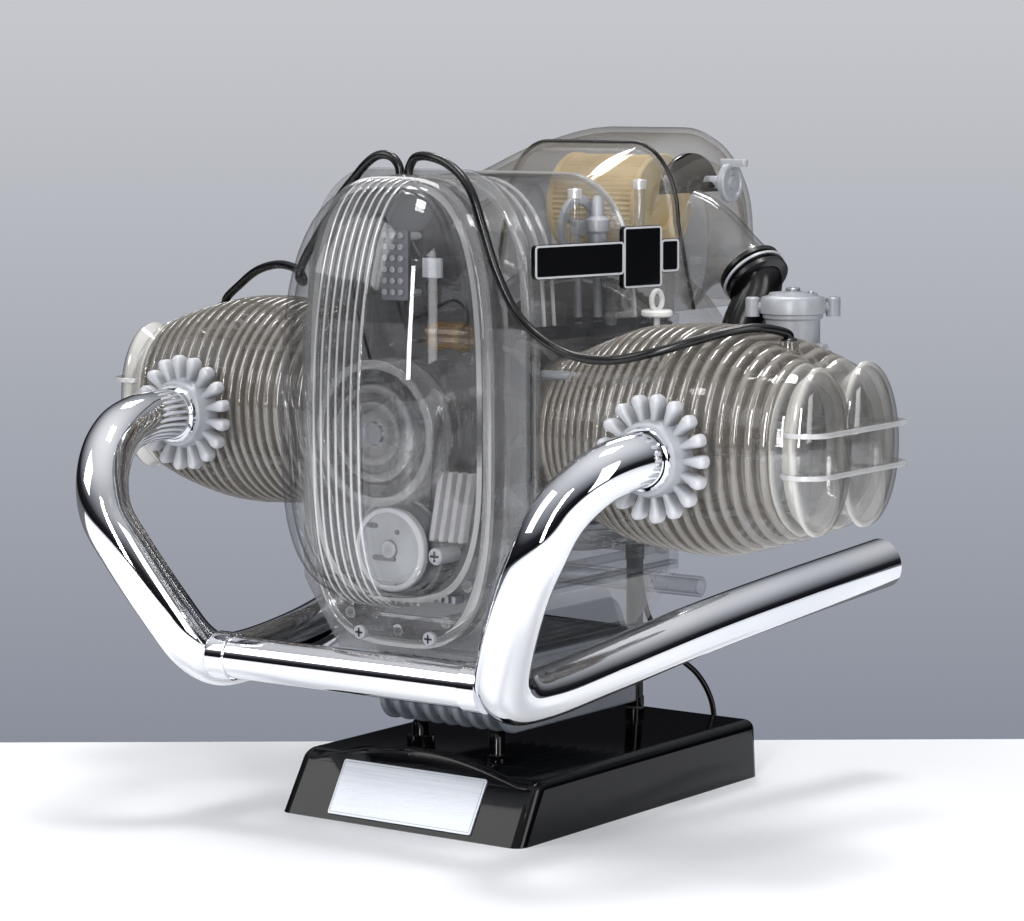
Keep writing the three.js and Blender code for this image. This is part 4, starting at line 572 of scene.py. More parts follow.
def make_world():
    """A grey studio wall that darkens downwards, and a darker room for what the chrome mirrors."""
    world = bpy.data.worlds.new("Studio")
    bpy.context.scene.world = world
    world.use_nodes = True
    tree = world.node_tree
    tree.nodes.clear()
    place = tree.nodes.new("ShaderNodeTexCoord")
    parts = tree.nodes.new("ShaderNodeSeparateXYZ")
    tree.links.new(place.outputs["Generated"], parts.inputs[0])

    def wall(stops, start, end):
        share = tree.nodes.new("ShaderNodeMapRange")
        share.inputs["From Min"].default_value, share.inputs["From Max"].default_value = start, end
        tree.links.new(parts.outputs["Z"], share.inputs["Value"])
        ramp = tree.nodes.new("ShaderNodeValToRGB")
        while len(ramp.color_ramp.elements) < len(stops):
            ramp.color_ramp.elements.new(0.5)
        for element, (at, shade) in zip(ramp.color_ramp.elements, stops):
            element.position, element.color = at, colour(shade)
        tree.links.new(share.outputs["Result"], ramp.inputs["Fac"])
        light = tree.nodes.new("ShaderNodeBackground")
        tree.links.new(ramp.outputs["Color"], light.inputs["Color"])
        return light.outputs[0]

    seen = wall([(0, (0.53, 0.55, 0.6)), (0.5, (0.655, 0.67, 0.705)), (1, (0.775, 0.78, 0.8))], -0.2, 0.01)
    room = wall([(0, (0.5, 0.5, 0.51)), (0.46, (0.42, 0.43, 0.45)), (0.5, (0.05, 0.05, 0.06)),
                 (0.6, (0.14, 0.14, 0.16)), (0.75, (0.56, 0.57, 0.59)), (1, (0.95, 0.95, 0.96))], -1, 1)
    path = tree.nodes.new("ShaderNodeLightPath")
    either = tree.nodes.new("ShaderNodeMixShader")
    tree.links.new(path.outputs["Is Camera Ray"], either.inputs[0])
    tree.links.new(room, either.inputs[1])
    tree.links.new(seen, either.inputs[2])
    out = tree.nodes.new("ShaderNodeOutputWorld")
    tree.links.new(either.outputs[0], out.inputs["Surface"])


make_table()
make_world()
make_light("Key softbox", (-1.1, -1.3, 1.25), (0, 0, 0.12), (1.0, 1.0), 10)
make_light("Side softbox", (1.7, -0.6, 0.8), (0, 0, 0.12), (0.6, 1.3), 10)
make_light("Top softbox", (0.1, 0.05, 1.7), (0, 0, 0.1), (0.4, 0.4), 10)
make_light("Back strip", (-0.7, 1.0, 1.5), (0, 0, 0.15), (0.5, 0.4), 8)
make_light("Front strip", (0.6, -1.42, 0.6), (0, 0, 0.17), (0.2, 0.95), 15)
bpy.context.scene.view_settings.view_transform = "Standard"
bpy.context.scene.cycles.transparent_max_bounces = 24

# Leads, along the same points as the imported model, in metres
LEAD_RADIUS, POWER_RADIUS = 0.0016, 0.0011
LEAD_ROUTES = {
    "right": [(0.0019, -0.072, 0.2343), (0.0021, -0.072, 0.236), (0.0031, -0.0722, 0.238),
              (0.0051, -0.0728, 0.2399), (0.0085, -0.0738, 0.2408), (0.0145, -0.0754, 0.2406),
              (0.0213, -0.0765, 0.2389), (0.0282, -0.0775, 0.2351), (0.0341, -0.0785, 0.229),
              (0.0395, -0.0795, 0.2175), (0.0465, -0.08, 0.2008), (0.055, -0.0802, 0.1875),
              (0.0664, -0.08, 0.1788), (0.077, -0.077, 0.174), (0.0889, -0.0735, 0.173),
              (0.1043, -0.071, 0.176), (0.116, -0.0635, 0.18), (0.125, -0.055, 0.183),
              (0.1315, -0.0465, 0.184)],
    "left": [(-0.0019, -0.072, 0.2343), (-0.0021, -0.072, 0.236), (-0.0031, -0.0719, 0.238),
             (-0.0051, -0.0718, 0.2399), (-0.0085, -0.0717, 0.241), (-0.013, -0.0715, 0.2404),
             (-0.0178, -0.0715, 0.2374), (-0.023, -0.0715, 0.2324), (-0.029, -0.0713, 0.2266),
             (-0.036, -0.0705, 0.2178), (-0.047, -0.0695, 0.204), (-0.055, -0.064, 0.1965),
             (-0.063, -0.052, 0.193), (-0.072, -0.041, 0.1933), (-0.082, -0.032, 0.1958),
             (-0.096, -0.0255, 0.197), (-0.112, -0.0195, 0.194), (-0.126, -0.014, 0.1875)],
}
POWER_ROUTE = [(0.014, 0.055, 0.087), (0.0143, 0.0553, 0.08), (0.016, 0.06, 0.06), (0.021, 0.069, 0.046),
               (0.0265, 0.078, 0.0365), (0.0295, 0.0825, 0.027), (0.0305, 0.0836, 0.018),
               (0.0305, 0.082, 0.012), (0.0305, 0.0796, 0.01)]


def lead(name, route, radius, node):
    path = spline(route, 10)
    made = piece(name, tube([p / MM for p in path], radius / MM, 20), RUBBER, nodes=[node])


def make_leads():
    for side, (sign, y) in SIDES.items():
        end = (sign * SOCKET_X * MM, (y + SOCKET_Y) * MM, PLUG_TOP * MM)
        route = LEAD_ROUTES[side] + [(end[0], end[1], end[2] + LEAD_RADIUS), end]
        lead(f"spark_lead_{side}", route, LEAD_RADIUS, f"ignition_lead_{side}")
    lead("supply_lead", POWER_ROUTE, POWER_RADIUS, "power_lead")


make_leads()


# Stand
STAND_HALF_WIDTH, STAND_HALF_DEPTH, STAND_HEIGHT = 54.7, 79, 22
STAND_TOP_HALF, STAND_INSET, STAND_WALL, STAND_EDGE = 54, 13, 2.6, 3.6
STAND_SLOPE = math.atan2(STAND_INSET, STAND_HEIGHT)
PEG_Y, PEG_X, PEG_RADIUS = -41.5, 17.5, 3.1


def stand_ring(height, inset):
    share = height / STAND_HEIGHT
    half = blend(STAND_HALF_WIDTH, STAND_TOP_HALF, share) - inset
    front = -STAND_HALF_DEPTH + STAND_INSET * share + inset
    rear = STAND_HALF_DEPTH - 0.6 * share - inset
    outline = rounded_box(-half, half, front, rear, max(5 - inset, 1.3), 8)
    return [(x, y, height) for x, y in outline]


def make_stand():
    rings = [stand_ring(STAND_HEIGHT - STAND_WALL, STAND_WALL), stand_ring(0, STAND_WALL), stand_ring(0, 0),
             stand_ring(STAND_HEIGHT - STAND_EDGE, 0)]
    for i in range(1, 8):
        turn = i / 7 * math.pi / 2
        rings.append(stand_ring(STAND_HEIGHT - STAND_EDGE * (1 - math.sin(turn)),
                                STAND_EDGE * (1 - math.cos(turn))))
    shell = loft(rings)
    crest_rings = []
    for i in range(33):
        across = i / 16 - 1
        crest = STAND_HEIGHT - 1.8 + 6.8 * math.cos(across * math.pi / 2)
        x, floor, back = across * 46, STAND_HEIGHT - STAND_EDGE - 1, -STAND_HALF_DEPTH + STAND_INSET + 19

        def face(z):
            return -STAND_HALF_DEPTH + z * math.tan(STAND_SLOPE)

        crest_rings.append([(x, face(floor) + 0.1, floor), (x, face(crest - 1.8), crest - 1.8),
                            (x, face(crest) - 0.3, crest - 0.7), (x, face(crest) + 0.7, crest - 0.1),
                            (x, face(crest) + 2.2, crest), (x, face(crest) + 4, crest - 0.3),
                            (x, blend(face(crest), back, 0.6), blend(crest, STAND_HEIGHT, 0.55)),
                            (x, back, STAND_HEIGHT - 0.1), (x, back, floor)])
    ridge = loft(crest_rings)
    rib = block(-52, 52, -3, 3, 0, 19.4)
    piece("stand_body", shell + ridge + rib, BLACK, nodes=["stand_shell"])
    for side, sign in (("left", -1), ("right", 1)):
        peg = lathe([(0, 21.5), (5.4, 21.5), (5.4, 22.8), (PEG_RADIUS + 0.5, 23.4), (PEG_RADIUS, 24.5),
                     (PEG_RADIUS, 31.6), (PEG_RADIUS - 0.6, 32.5), (0, 32.5)], "z", (sign * PEG_X, PEG_Y, 0),
                    32)
        piece(f"stand_peg_{side}", peg, BLACK)
    knurl = wheel([5.2 if i % 4 < 2 else 4.8 for i in range(96)], -PEG_X, PEG_Y)
    collar = slab(knurl, "z", 22.9, 27.3, 0.3)
    piece("knurled_collar", collar, BLACK, nodes=["peg_collar"])
    post = lathe([(0, 22.3), (3.7, 22.3), (3.7, 26), (3.3, 26.4), (3.3, 80), (3.7, 80.4), (3.7, 85.7),
                  (0, 85.7)], "z", (0, 73.5, 0), 36)
    piece("bell_post", post, BLACK, nodes=["rear_post"])


def on_slope(p):
    """Places a flat piece on the stand's sloping front."""
    s, c = math.sin(STAND_SLOPE), math.cos(STAND_SLOPE)
    middle, outside = STAND_HEIGHT / 2, 0.25
    return (p.x, p.y * c + p.z * s - STAND_HALF_DEPTH + middle * math.tan(STAND_SLOPE) - outside * c,
            -p.y * s + p.z * c + middle + outside * s)


def make_label():
    plate = slab(rounded_box(-32.3, 32.3, -10.6, 10.6, 0.8, 4), "y", -0.55, 0.55, 0.15).moved(on_slope)
    piece("bare_label", plate, LABEL, nodes=["label_plate"])
    rim = joined(slab(rounded_box(a, b, c, d, 0.1, 1), "y", -0.62, -0.5) for a, b, c, d in (
        (-31.6, 31.6, 9.6, 9.8), (-31.6, 31.6, -9.8, -9.6), (-31.6, -31.4, -9.8, 9.8),
        (31.4, 31.6, -9.8, 9.8)))
    piece("label_rule", rim.moved(on_slope), METAL)


# Sump
SUMP_HALF, SUMP_FRONT, SUMP_REAR, SUMP_LOW, SUMP_TOP = 28, -50.7, 33.3, 35.6, 61.7
SUMP_RIB, SUMP_RIBS = 2.8, 9


def sump_outline(grow):
    corner = 7 + grow
    low, front = SUMP_LOW - grow, SUMP_FRONT - grow
    points = [(SUMP_REAR, SUMP_TOP), (front, SUMP_TOP)]
    for i in range(9):
        angle = math.pi + i / 8 * math.pi / 2
        points.append((front + corner + corner * math.cos(angle), low + corner + corner * math.sin(angle)))
    return points + [(SUMP_REAR, low)]


def make_sump():
    tub = slab(sump_outline(0), "x", -SUMP_HALF, SUMP_HALF)
    pitch = (2 * SUMP_HALF - SUMP_RIB) / (SUMP_RIBS - 1)
    ribs = joined(slab(sump_outline(SUMP_RIB), "x", start, start + SUMP_RIB)
                  for start in (i * pitch - SUMP_HALF for i in range(SUMP_RIBS)))
    rim = block(-SUMP_HALF - 1.6, SUMP_HALF + 1.6, SUMP_FRONT - 2, SUMP_REAR, SUMP_TOP - 3, SUMP_TOP)
    piece("ribbed_sump", tub + ribs + rim, SUMP, nodes=["oil_sump"], bevel=0.9)
    bolts = joined(hex_bolt((x, SUMP_FRONT + y, SUMP_TOP - 3), 1.8, 1.4, "z", -1)
                   for x in (-26, 26) for y in (4, 22, 40, 58, 76))
    piece("sump_bolts", bolts, METAL, bevel=0.15)


def hex_bolt(centre, radius, height, axis, way=1):
    """A six sided bolt head that stands out from its seat along an axis."""
    k = "xyz".index(axis)
    base = centre[k]
    flat = [i for i in range(3) if i != k]
    return slab(wheel([radius] * 6, centre[flat[0]], centre[flat[1]]), axis,
                *sorted((base, base + way * height)))


make_stand()
make_label()
make_sump()


# Timing case and front cover
EGG_POWER = 3.2
COVER_HALF, COVER_RISE, COVER_DROP, COVER_DEPTH, COVER_WALL = 38.3, 88, 61, 32.6, 2.2
TOP_POWER, FOOT_POWER = 2.3, 3
RIB_PITCH, RIB_WIDTH, RIB_HEIGHT = 3.3, 1.5, 1.1


def egg(half_width, rise, drop, count=112):
    return [(x, z + CRANK_Z) for x, z in rounded(half_width, rise, drop, EGG_POWER, count)]


def cover_point(x, turn, grow):
    """A point of the cover's dome on the line of one x, turn running from 0 at the top to 1 at the foot."""
    half = COVER_HALF + grow
    reach = max(0.0, 1 - min(1, abs(x) / half) ** FOOT_POWER) ** (1 / FOOT_POWER)
    depth = reach * math.sin(turn * math.pi)
    foot = max(0.0, 1 - depth ** FOOT_POWER) ** (1 / FOOT_POWER)
    top = max(0.0, 1 - depth ** TOP_POWER) ** (1 / TOP_POWER)
    high = (COVER_RISE + grow) * top if turn < 0.5 else -(COVER_DROP + grow) * foot
    across = min(1, abs(x) / max(half * foot, 1e-6))
    z = high * (1 - across ** EGG_POWER) ** (1 / EGG_POWER)
    return (x, COVER_BASE - depth * (COVER_DEPTH + grow), CRANK_Z + z)


def cover_columns():
    """The x of each line over the cover with its height above the plain dome."""
    count, band = 22, 3 * RIB_PITCH + RIB_WIDTH
    columns = {}
    for i in range(count):
        x = round(COVER_HALF * math.cos(i / (2 * count) * math.pi) ** (2 / EGG_POWER), 3)
        if x > band:
            columns[x] = columns[-x] = 0
    for i in range(-3, 4):
        for offset, share in ((-0.5, 0), (-0.4, 0.85), (-0.2, 1), (0.2, 1), (0.4, 0.85), (0.5, 0)):
            columns[i * RIB_PITCH + offset * RIB_WIDTH] = share
        columns[(i + 0.5) * RIB_PITCH] = 0
    columns[-3.5 * RIB_PITCH] = 0
    return sorted(columns.items())


def make_front_cover():
    steps = 72
    turns = [0.5 - 0.5 * math.cos(i / steps * math.pi) for i in range(steps + 1)]
    points, faces, glow = [], [], []
    columns = cover_columns()
    shrink = (COVER_HALF - COVER_WALL) / COVER_HALF
    for inner in (False, True):
        for x, share in columns:
            for turn in turns:
                if inner:
                    points.append(cover_point(x * shrink, turn, -COVER_WALL))
                else:
                    points.append(cover_point(x, turn, share * RIB_HEIGHT))
                # Painted highlight: rib tops glow 0.95 and rib shoulders 0.35 on the outer skin
                glow.append((0.95 if share == 1 else 0.35 if share else 0.0) * (not inner))
    wide, tall = len(columns), steps + 1
    for layer in range(2):
        for c in range(wide - 1):
            for t in range(steps):
                a = (layer * wide + c) * tall + t
                faces.append((a, a + 1, a + tall + 1, a + tall) if layer
                             else (a, a + tall, a + tall + 1, a + 1))
    for t in (0, steps):
        for c in range(wide - 1):
            a, b = c * tall + t, (wide + c) * tall + t
            faces.append((a, a + tall, b + tall, b))
            glow[a] = glow[b] = 1.0
    piece("ribbed_front_cover", Form(points, faces, glow), CLEAR, nodes=["front_cover"],
          sharp=50)


def make_timing_case():
    outline, hollow = egg(41, 89, 77), egg(38.5, 86.5, 74.5)
    lip, step = egg(41.6, 89.6, 77.6), egg(40.4, 88.4, 76.4)
    rings = stacked(
        "y", (hollow, TIMING_FRONT), (step, TIMING_FRONT), (lip, TIMING_FRONT + 0.5),
                    (lip, TIMING_FRONT + 2.6),
        (outline, TIMING_FRONT + 3.2), (outline, TIMING_REAR - 2.8), (lip, TIMING_REAR - 2.2),
                    (lip, TIMING_REAR), (hollow, TIMING_REAR))
    shell = loft(rings, loop=True, glow=[0.7, 0.9, 1, 1, 0.1, 0.1, 0.9, 0.9, 0.3])
    boss = lathe([(0, 228), (5.5, 228), (5.5, 232.8), (4.9, 233.6), (4.1, 234), (0, 234)], "z", (0, -72, 0),
                 32)
    piece("timing_case_shell", shell + boss, CASE_CLEAR, nodes=["timing_case"])
    plate = slab(egg(38.6, 86.6, 74.6), "y", TIMING_REAR - 2.4, TIMING_REAR - 0.2)
    shoulder = slab([(50.3, CASE_TOP), (-50.3, CASE_TOP), (-50.3, 86.5), (-34, 62), (34, 62), (50.3, 86.5)],
                    "y", TIMING_REAR - 2.5, TIMING_REAR, 0.3)
    piece("bearing_plate", plate + shoulder, PLATE)
    seat = ring(26, 23.5, -79, -72.4, "y", (0, 0, CRANK_Z), 72)
    cam_seat = ring(19.5, 17.5, -76, -68, "y", (0, 0, CAM_Z), 64)
    webs = joined(slab(round_crank(math.radians(t), spoke(26, reach, 0.8)), "y", -76, -68.2) for t, reach in (
        (20, 37), (52, 44), (80, 58), (110, 58), (140, 42), (165, 37), (205, 38), (335, 38)))
    piece("timing_case_ribs", seat + cam_seat + webs, CASE_CLEAR)
    posts = []
    for a in angles(14, 0.5):
        c, s = math.cos(a), math.sin(a)
        x, z = (math.copysign(half * abs(part) ** (2 / EGG_POWER), part)
                for half, part in ((36.2, c), (84 if s > 0 else 71.5, s)))
        posts.append(rod(2.4, -77.6, -66, "y", (x, 0, CRANK_Z + z), 20))
    piece("timing_case_bolt_posts", joined(posts), CASE_CLEAR)


def make_generator():
    centre = (0, 0, CRANK_Z)
    core = ring(26, 22.6, -90.3, -79.3, "y", centre, 72)
    pole = ((22.9, -2.2), (20.4, -2.2), (19.6, -4.2), (18.2, -4.2), (18.2, 4.2), (19.6, 4.2), (20.4, 2.2),
            (22.9, 2.2))
    poles = joined(slab(round_crank(a, pole), "y", -89.6, -80) for a in angles(12))
    piece("generator_ring", core + poles, INNER, nodes=["generator_stator"], bevel=0.3)
    rotor = lathe([(4.4, -79.8), (17.4, -79.8), (17.4, -84), (16.6, -84.3), (16.6, -86), (17.4, -86.3),
                   (17.4, -90.2), (16.9, -90.8), (14.4, -90.8), (14, -90), (11.6, -90), (11.2, -91),
                   (8.6, -91), (8.2, -90.2), (4.4, -90.2)], "y", centre, 64,
                  [0, 0, 0, 0, 0, 0, 0.3, 0.6, 0.3, 0, 0, 0.6, 0.2, 0, 0.6])
    slots = joined(slab(round_crank(a, spoke(11.8, 13.8, 0.7)), "y", -90.8, -89.9) for a in angles(8))
    piece("generator_rotor_body", rotor + slots, INNER, body="crankshaft", nodes=["generator_rotor"])
    nut = slab(wheel([4.3] * 6, 0, CRANK_Z), "y", -90.9, -88.6)
    piece("rotor_nut", nut, SATIN, body="crankshaft", bevel=0.4)


def make_breaker():
    centre = (0, 0, CAM_Z)
    disc = lathe([(3.4, -79.3), (15.3, -79.3), (15.3, -81.6), (14.7, -82.3), (13.2, -82.3), (13, -81.7),
                  (3.4, -81.7)], "y", centre, 64, [0, 0, 0.3, 1, 1, 0, 0])
    slots = joined(
        slab(rounded_box(x - half, x + half, CAM_Z + z - 0.9, CAM_Z + z + 0.9, 0.85, 4), "y", -82.1, -81.5,
             0.1)
        for x, z, half in ((-7.8, 8, 2.4), (-2.5, -3.4, 5.2), (3.3, 6.3, 1)))
    foot = block(-2.6, 2.6, -82.2, -69, CAM_Z - 14.2, CAM_Z - 11.8)
    piece("breaker_disc", disc + foot, SATIN, nodes=["breaker_plate"])
    piece("breaker_slots", slots, BOARD)
    x, z = 18.8, CAM_Z - 1.3
    piece("breaker_screw", rod(3, -80.4, -68.2, "y", (x, 0, z), 32, 0.5), SATIN)
    piece("breaker_screw_cross", crosses([(x, z)], -80.6, -80.3, 1.9, 0.35), BOARD)
    lobe = rod(3.2, -83, -79.4, "y", centre, 32)
    piece("breaker_cam", lobe, METAL, body="cam")


def make_electrics():
    """Small parts that show through the front cover."""
    board = slab(rounded_box(-6.5, 5.5, 190, 215, 1.2, 3), "y", -77.4, -75.6, 0.2)
    piece("rectifier_board", board, BOARD)
    dots = joined(rod(1.1, -79, -77.3, "y", (x, 0, z), 16) for x in (-4, -0.5, 3) for z in range(193, 214, 4))
    piece("rectifier_cells", dots, METAL)
    stays = joined(rod(1.4, -75.7, -68.2, "y", (x, 0, z), 14) for x in (-4.5, 3.5) for z in (192.5, 212.5))
    bracket = block(11.5, 19.5, -77, -75.4, 198.6, 205.4) + block(11.5, 13.2, -75.6, -68.2, 199, 205)
    piece("rectifier_stays", stays + bracket, SATIN, bevel=0.25)
    rail = block(-12, 24, -74.6, -73.4, 194.2, 195.6) + block(20, 22, -74.4, -68.2, 193.8, 196)
    piece("cross_rail", rail + block(-11, -9, -74.4, -68.2, 193.8, 196), CASE_CLEAR, bevel=0.2)
    centre = (0, -73.4, 178)
    can = lathe([(0, 12), (3.6, 12), (4.6, 13), (4.6, 30), (3.6, 31.4), (0, 31.4)], "x", centre, 36)
    bands = joined(ring(4.9, 4.4, x, x + 2.5, "x", centre, 36, 0.15) for x in (15, 25))
    piece("capacitor", can, AMBER)
    piece("capacitor_bands", bands, AMBER)
    lean = (18 - 13) / 27
    vent = []
    for i in range(4):
        x = 16.5 + i * 4.2
        outline = [(x + lean * (z - 106), z) for z in (106, 131)]
        outline = [(u - 1.1, z) for u, z in outline] + [(u + 1.1, z) for u, z in outline[::-1]]
        vent.append(slab(outline, "y", -79.6, -75.6))
    back = slab([(13.4, 104.6), (31.6, 104.6), (36.2, 132.6), (18.2, 132.6)], "y", -76, -73.6)
    piece("vent_box", back, CASE_CLEAR, bevel=0.5)
    piece("vent_ribs", joined(vent).lit(0.9), INNER, bevel=0.6)
    wires = []
    for route in ([(-4, -76, 214), (-6, -77, 220), (-14, -77, 217), (-20, -76, 205), (-21, -74.5, 190),
                   (-17, -74, 176), (-13, -75.5, 168)],
                  [(3, -76, 190), (6, -78, 184), (14, -78, 186), (26, -77, 191), (30, -75, 186),
                   (27, -74, 180)],
                  [(14, -73, 178), (8, -76.5, 176), (3, -77.5, 184), (0, -76.5, 190)]):
        wires.append(tube(spline(route, 8), 0.55, 10))
    piece("front_wires", joined(wires), RUBBER)
    teeth = joined(block(6.5 + i * 3.1, 8.3 + i * 3.1, -75, -70, 83.4, 86.2) for i in range(6))
    piece("chain_links", teeth, METAL, bevel=0.3)
    places = ((-15.5, 70.6), (15.6, 71))
    screws = joined(rod(2.5, -80.2, -77.9, "y", (x, 0, z), 24) for x, z in places)
    piece("flange_screws", screws, SATIN)
    piece("flange_screw_crosses", crosses(places, -80.4, -80.1, 1.6, 0.3), BOARD)


make_front_cover()
make_timing_case()
make_generator()
make_breaker()
make_electrics()


# Hood: top cover and airbox, drawn through a row of arches
HOOD_WALL = 2.2
LIP_ARCH = (50.3, 1, 54.6, 29, 37)
MIDDLE_ARCH = (48.6, 1, 51.3, 29, 37)
SEAM_ARCH = (46.5, 7, 61.5, 20, 29)
BEND_ARCH = (47, 2, 66.6, 28, 34)
REAR_ARCH = (41, 3, 57, 24, 30)
MIDDLE_END, SEAM_Y, BEND_Y, BOX_REAR = 2, 43, 82, 98


def mixed(first, second, share):
    return tuple(blend(a, b, share) for a, b in zip(first, second))


def arch(station, y, inset=0.0, steps=14):
    """The points of an open arch from its right foot to its left foot."""
    half, lean, rise, round_width, round_height = station
    wide, top = half - inset, HOOD_BOTTOM + rise - inset
    shoulder = wide - lean
    rw, rh = round_width - inset, round_height - inset
    points = [(wide, y, HOOD_BOTTOM)]
    for k in range(1, 4):
        points.append((blend(wide, shoulder, k / 4), y, blend(HOOD_BOTTOM, top - rh, k / 4)))
    for quarter, middle in ((0, shoulder - rw), (1, rw - shoulder)):
        for i in range(steps + 1):
            angle = (quarter + i / steps) * math.pi / 2
            points.append((middle + rw * math.cos(angle), y, top - rh + rh * math.sin(angle)))
    for k in range(3, 0, -1):
        points.append((-blend(wide, shoulder, k / 4), y, blend(HOOD_BOTTOM, top - rh, k / 4)))
    return points + [(-wide, y, HOOD_BOTTOM)]


def hood_band(stations, wall=HOOD_WALL):
    """An open shell over stations, each an arch, its y and how far its skin is drawn in."""
    rings = [arch(s, y, inset) + arch(s, y, inset + wall)[::-1] for s, y, inset in stations]
    form = loft(rings)
    count = len(rings[0])
    # Painted highlight along both end edges of the shell
    for k in range(count):
        form.glow[k] = form.glow[-1 - k] = 0.9
    return form


def hood_wall(station, start, end, inset):
    return loft([arch(station, y, inset) for y in (start, end)])


def make_hood():
    lip = hood_band([(LIP_ARCH, CASE_FRONT, 0.5), (LIP_ARCH, CASE_FRONT + 0.5, 0),
                     (LIP_ARCH, CASE_FRONT + 2.1, 0), (LIP_ARCH, CASE_FRONT + 2.6, 0.5)], 3.4)
    top = hood_band([(MIDDLE_ARCH, y, 0) for y in (CASE_FRONT + 0.4, -40, -20, MIDDLE_END)])
    front_wall = hood_wall(MIDDLE_ARCH, CASE_FRONT + 0.6, CASE_FRONT + 2.6, HOOD_WALL - 0.2)
    piece("top_cover_shell", lip + top + front_wall, CASE_CLEAR, nodes=["top_cover"])
    beads = joined(hood_band([(MIDDLE_ARCH, y, -0.5), (MIDDLE_ARCH, y + 1.1, -0.5)], 0.8)
                   for y in (-56, -50, 0.6))
    piece("top_cover_beads", beads, CLEAR)
    stations = []
    for share in (i / 8 for i in range(9)):
        eased = share * share * (3 - 2 * share)
        shape = mixed(MIDDLE_ARCH, SEAM_ARCH, blend(share, eased, 0.4))
        stations.append((shape, blend(MIDDLE_END + 0.3, SEAM_Y, share), 0))
    box_wall = hood_wall(MIDDLE_ARCH, MIDDLE_END + 0.4, MIDDLE_END + 2.2, HOOD_WALL - 0.1)
    piece("airbox_front", hood_band(stations) + box_wall, SMOKE, nodes=["airbox_front_shell"])
    rear = []
    for y in (SEAM_Y + 0.3, 50, 58, 66, 74, 82, 87, 91, 94, 96, 97.2, 97.8):
        if y <= BEND_Y:
            share = (y - SEAM_Y) / (BEND_Y - SEAM_Y)
            shape = mixed(SEAM_ARCH, BEND_ARCH, math.sin(share * math.pi / 2) ** 1.2)
        else:
            share = (y - BEND_Y) / (BOX_REAR - BEND_Y)
            shape = mixed(BEND_ARCH, REAR_ARCH, share ** 1.6)
        drawn = 3.4 * max(0.0, (y - 93) / 4.8) ** 2.4
        rear.append((shape, y, drawn))
    back_wall = hood_wall(rear[-1][0], BOX_REAR - 2, BOX_REAR, 3.4)
    piece("airbox_rear", hood_band(rear) + back_wall, SMOKE, nodes=["airbox_rear_shell"])
    seam = [Vector(p) for p in arch(SEAM_ARCH, SEAM_Y + 0.1, -0.2)]
    piece("airbox_gasket", tube(seam, 0.75, 12), RUBBER)
    pillars = joined(
        lathe([(0, z - 11), (1.9, z - 11), (1.9, z + 6), (2.7, z + 6.4), (2.7, z + 9.4), (2.1, z + 10),
               (0, z + 10)], "z", (sign * BOLT_POST_X, y, 0), 20, [0, 0.5, 0.2, 0.9, 1, 0.8, 0])
        for sign in (-1, 1) for y, z in ((-31, 219), (10, 221), (-8, 190), (30, 192)))
    piece("hood_screw_pillars", pillars, CLEAR)


def make_filter():
    centre = (0, 62, 219)
    radii = [19 - 1.2 * (0.5 + 0.5 * math.cos(i / 240 * 60 * 2 * math.pi)) for i in range(240)]
    drum = slab(wheel(radii, centre[1], centre[2]), "x", -18.5, 18.5)
    # Painted highlight on the pleat crests
    drum.glow = [0.9 if math.hypot(p[1] - centre[1], p[2] - centre[2]) > 18.4 else 0.0 for p in drum.points]
    piece("pleated_filter", drum, PAPER, nodes=["air_filter"], sharp=60)
    caps = joined(ring(19.6, 9, a, b, "x", centre, 64, 0.5) for a, b in ((-20.5, -18), (18, 20.5)))
    piece("filter_end_caps", caps, PAPER)
    stalk = rod(3, 43.6, 45, "y", (0, 0, 219), 24) + block(-2, 2, 41, 45.5, 181.6, 219)
    piece("filter_stalk", stalk, SMOKE)


def make_airbox_inside():
    """The air flap, a vent disc and a small plug seen through the hood."""
    flap = []
    for i in range(25):
        angle = i / 24 * math.pi
        flap.append((61 + 19.5 * math.cos(angle), 224 + 15 * math.sin(angle)))
    piece("air_flap", slab(flap, "x", 32, 33.8, 0.2), RUBBER)
    piece("air_flap_shaft", bar(1.6, (33, 61, 225), (44, 65.5, 228), 16), RUBBER)
    disc = ring(12, 8.5, 36, 38, "x", (0, -18, 214), 56) + rod(3, 35, 39, "x", (0, -18, 214), 24)
    arms = joined(bar(1, (37, -18, 214), (37, -18 + 9.5 * math.cos(a), 214 + 9.5 * math.sin(a)), 10)
                  for a in (0.5, 2.6, 4.7))
    stay = bar(1.4, (37, -18, 202.5), (37, -18, 182), 12)
    piece("vent_disc", disc + arms + stay, SATIN)
    plug = lathe([(0, 200), (3.4, 200), (3.4, 212), (4.4, 213), (4.4, 217), (2.4, 218.4), (2, 224),
                  (1.2, 225.6), (0, 225.6)], "z", (42, -13, 0), 28)
    foot = bar(1.6, (42, -13, 200), (42, -13, 182), 12)
    piece("breather_plug", plug + foot, SATIN)


make_hood()
make_filter()
make_airbox_inside()


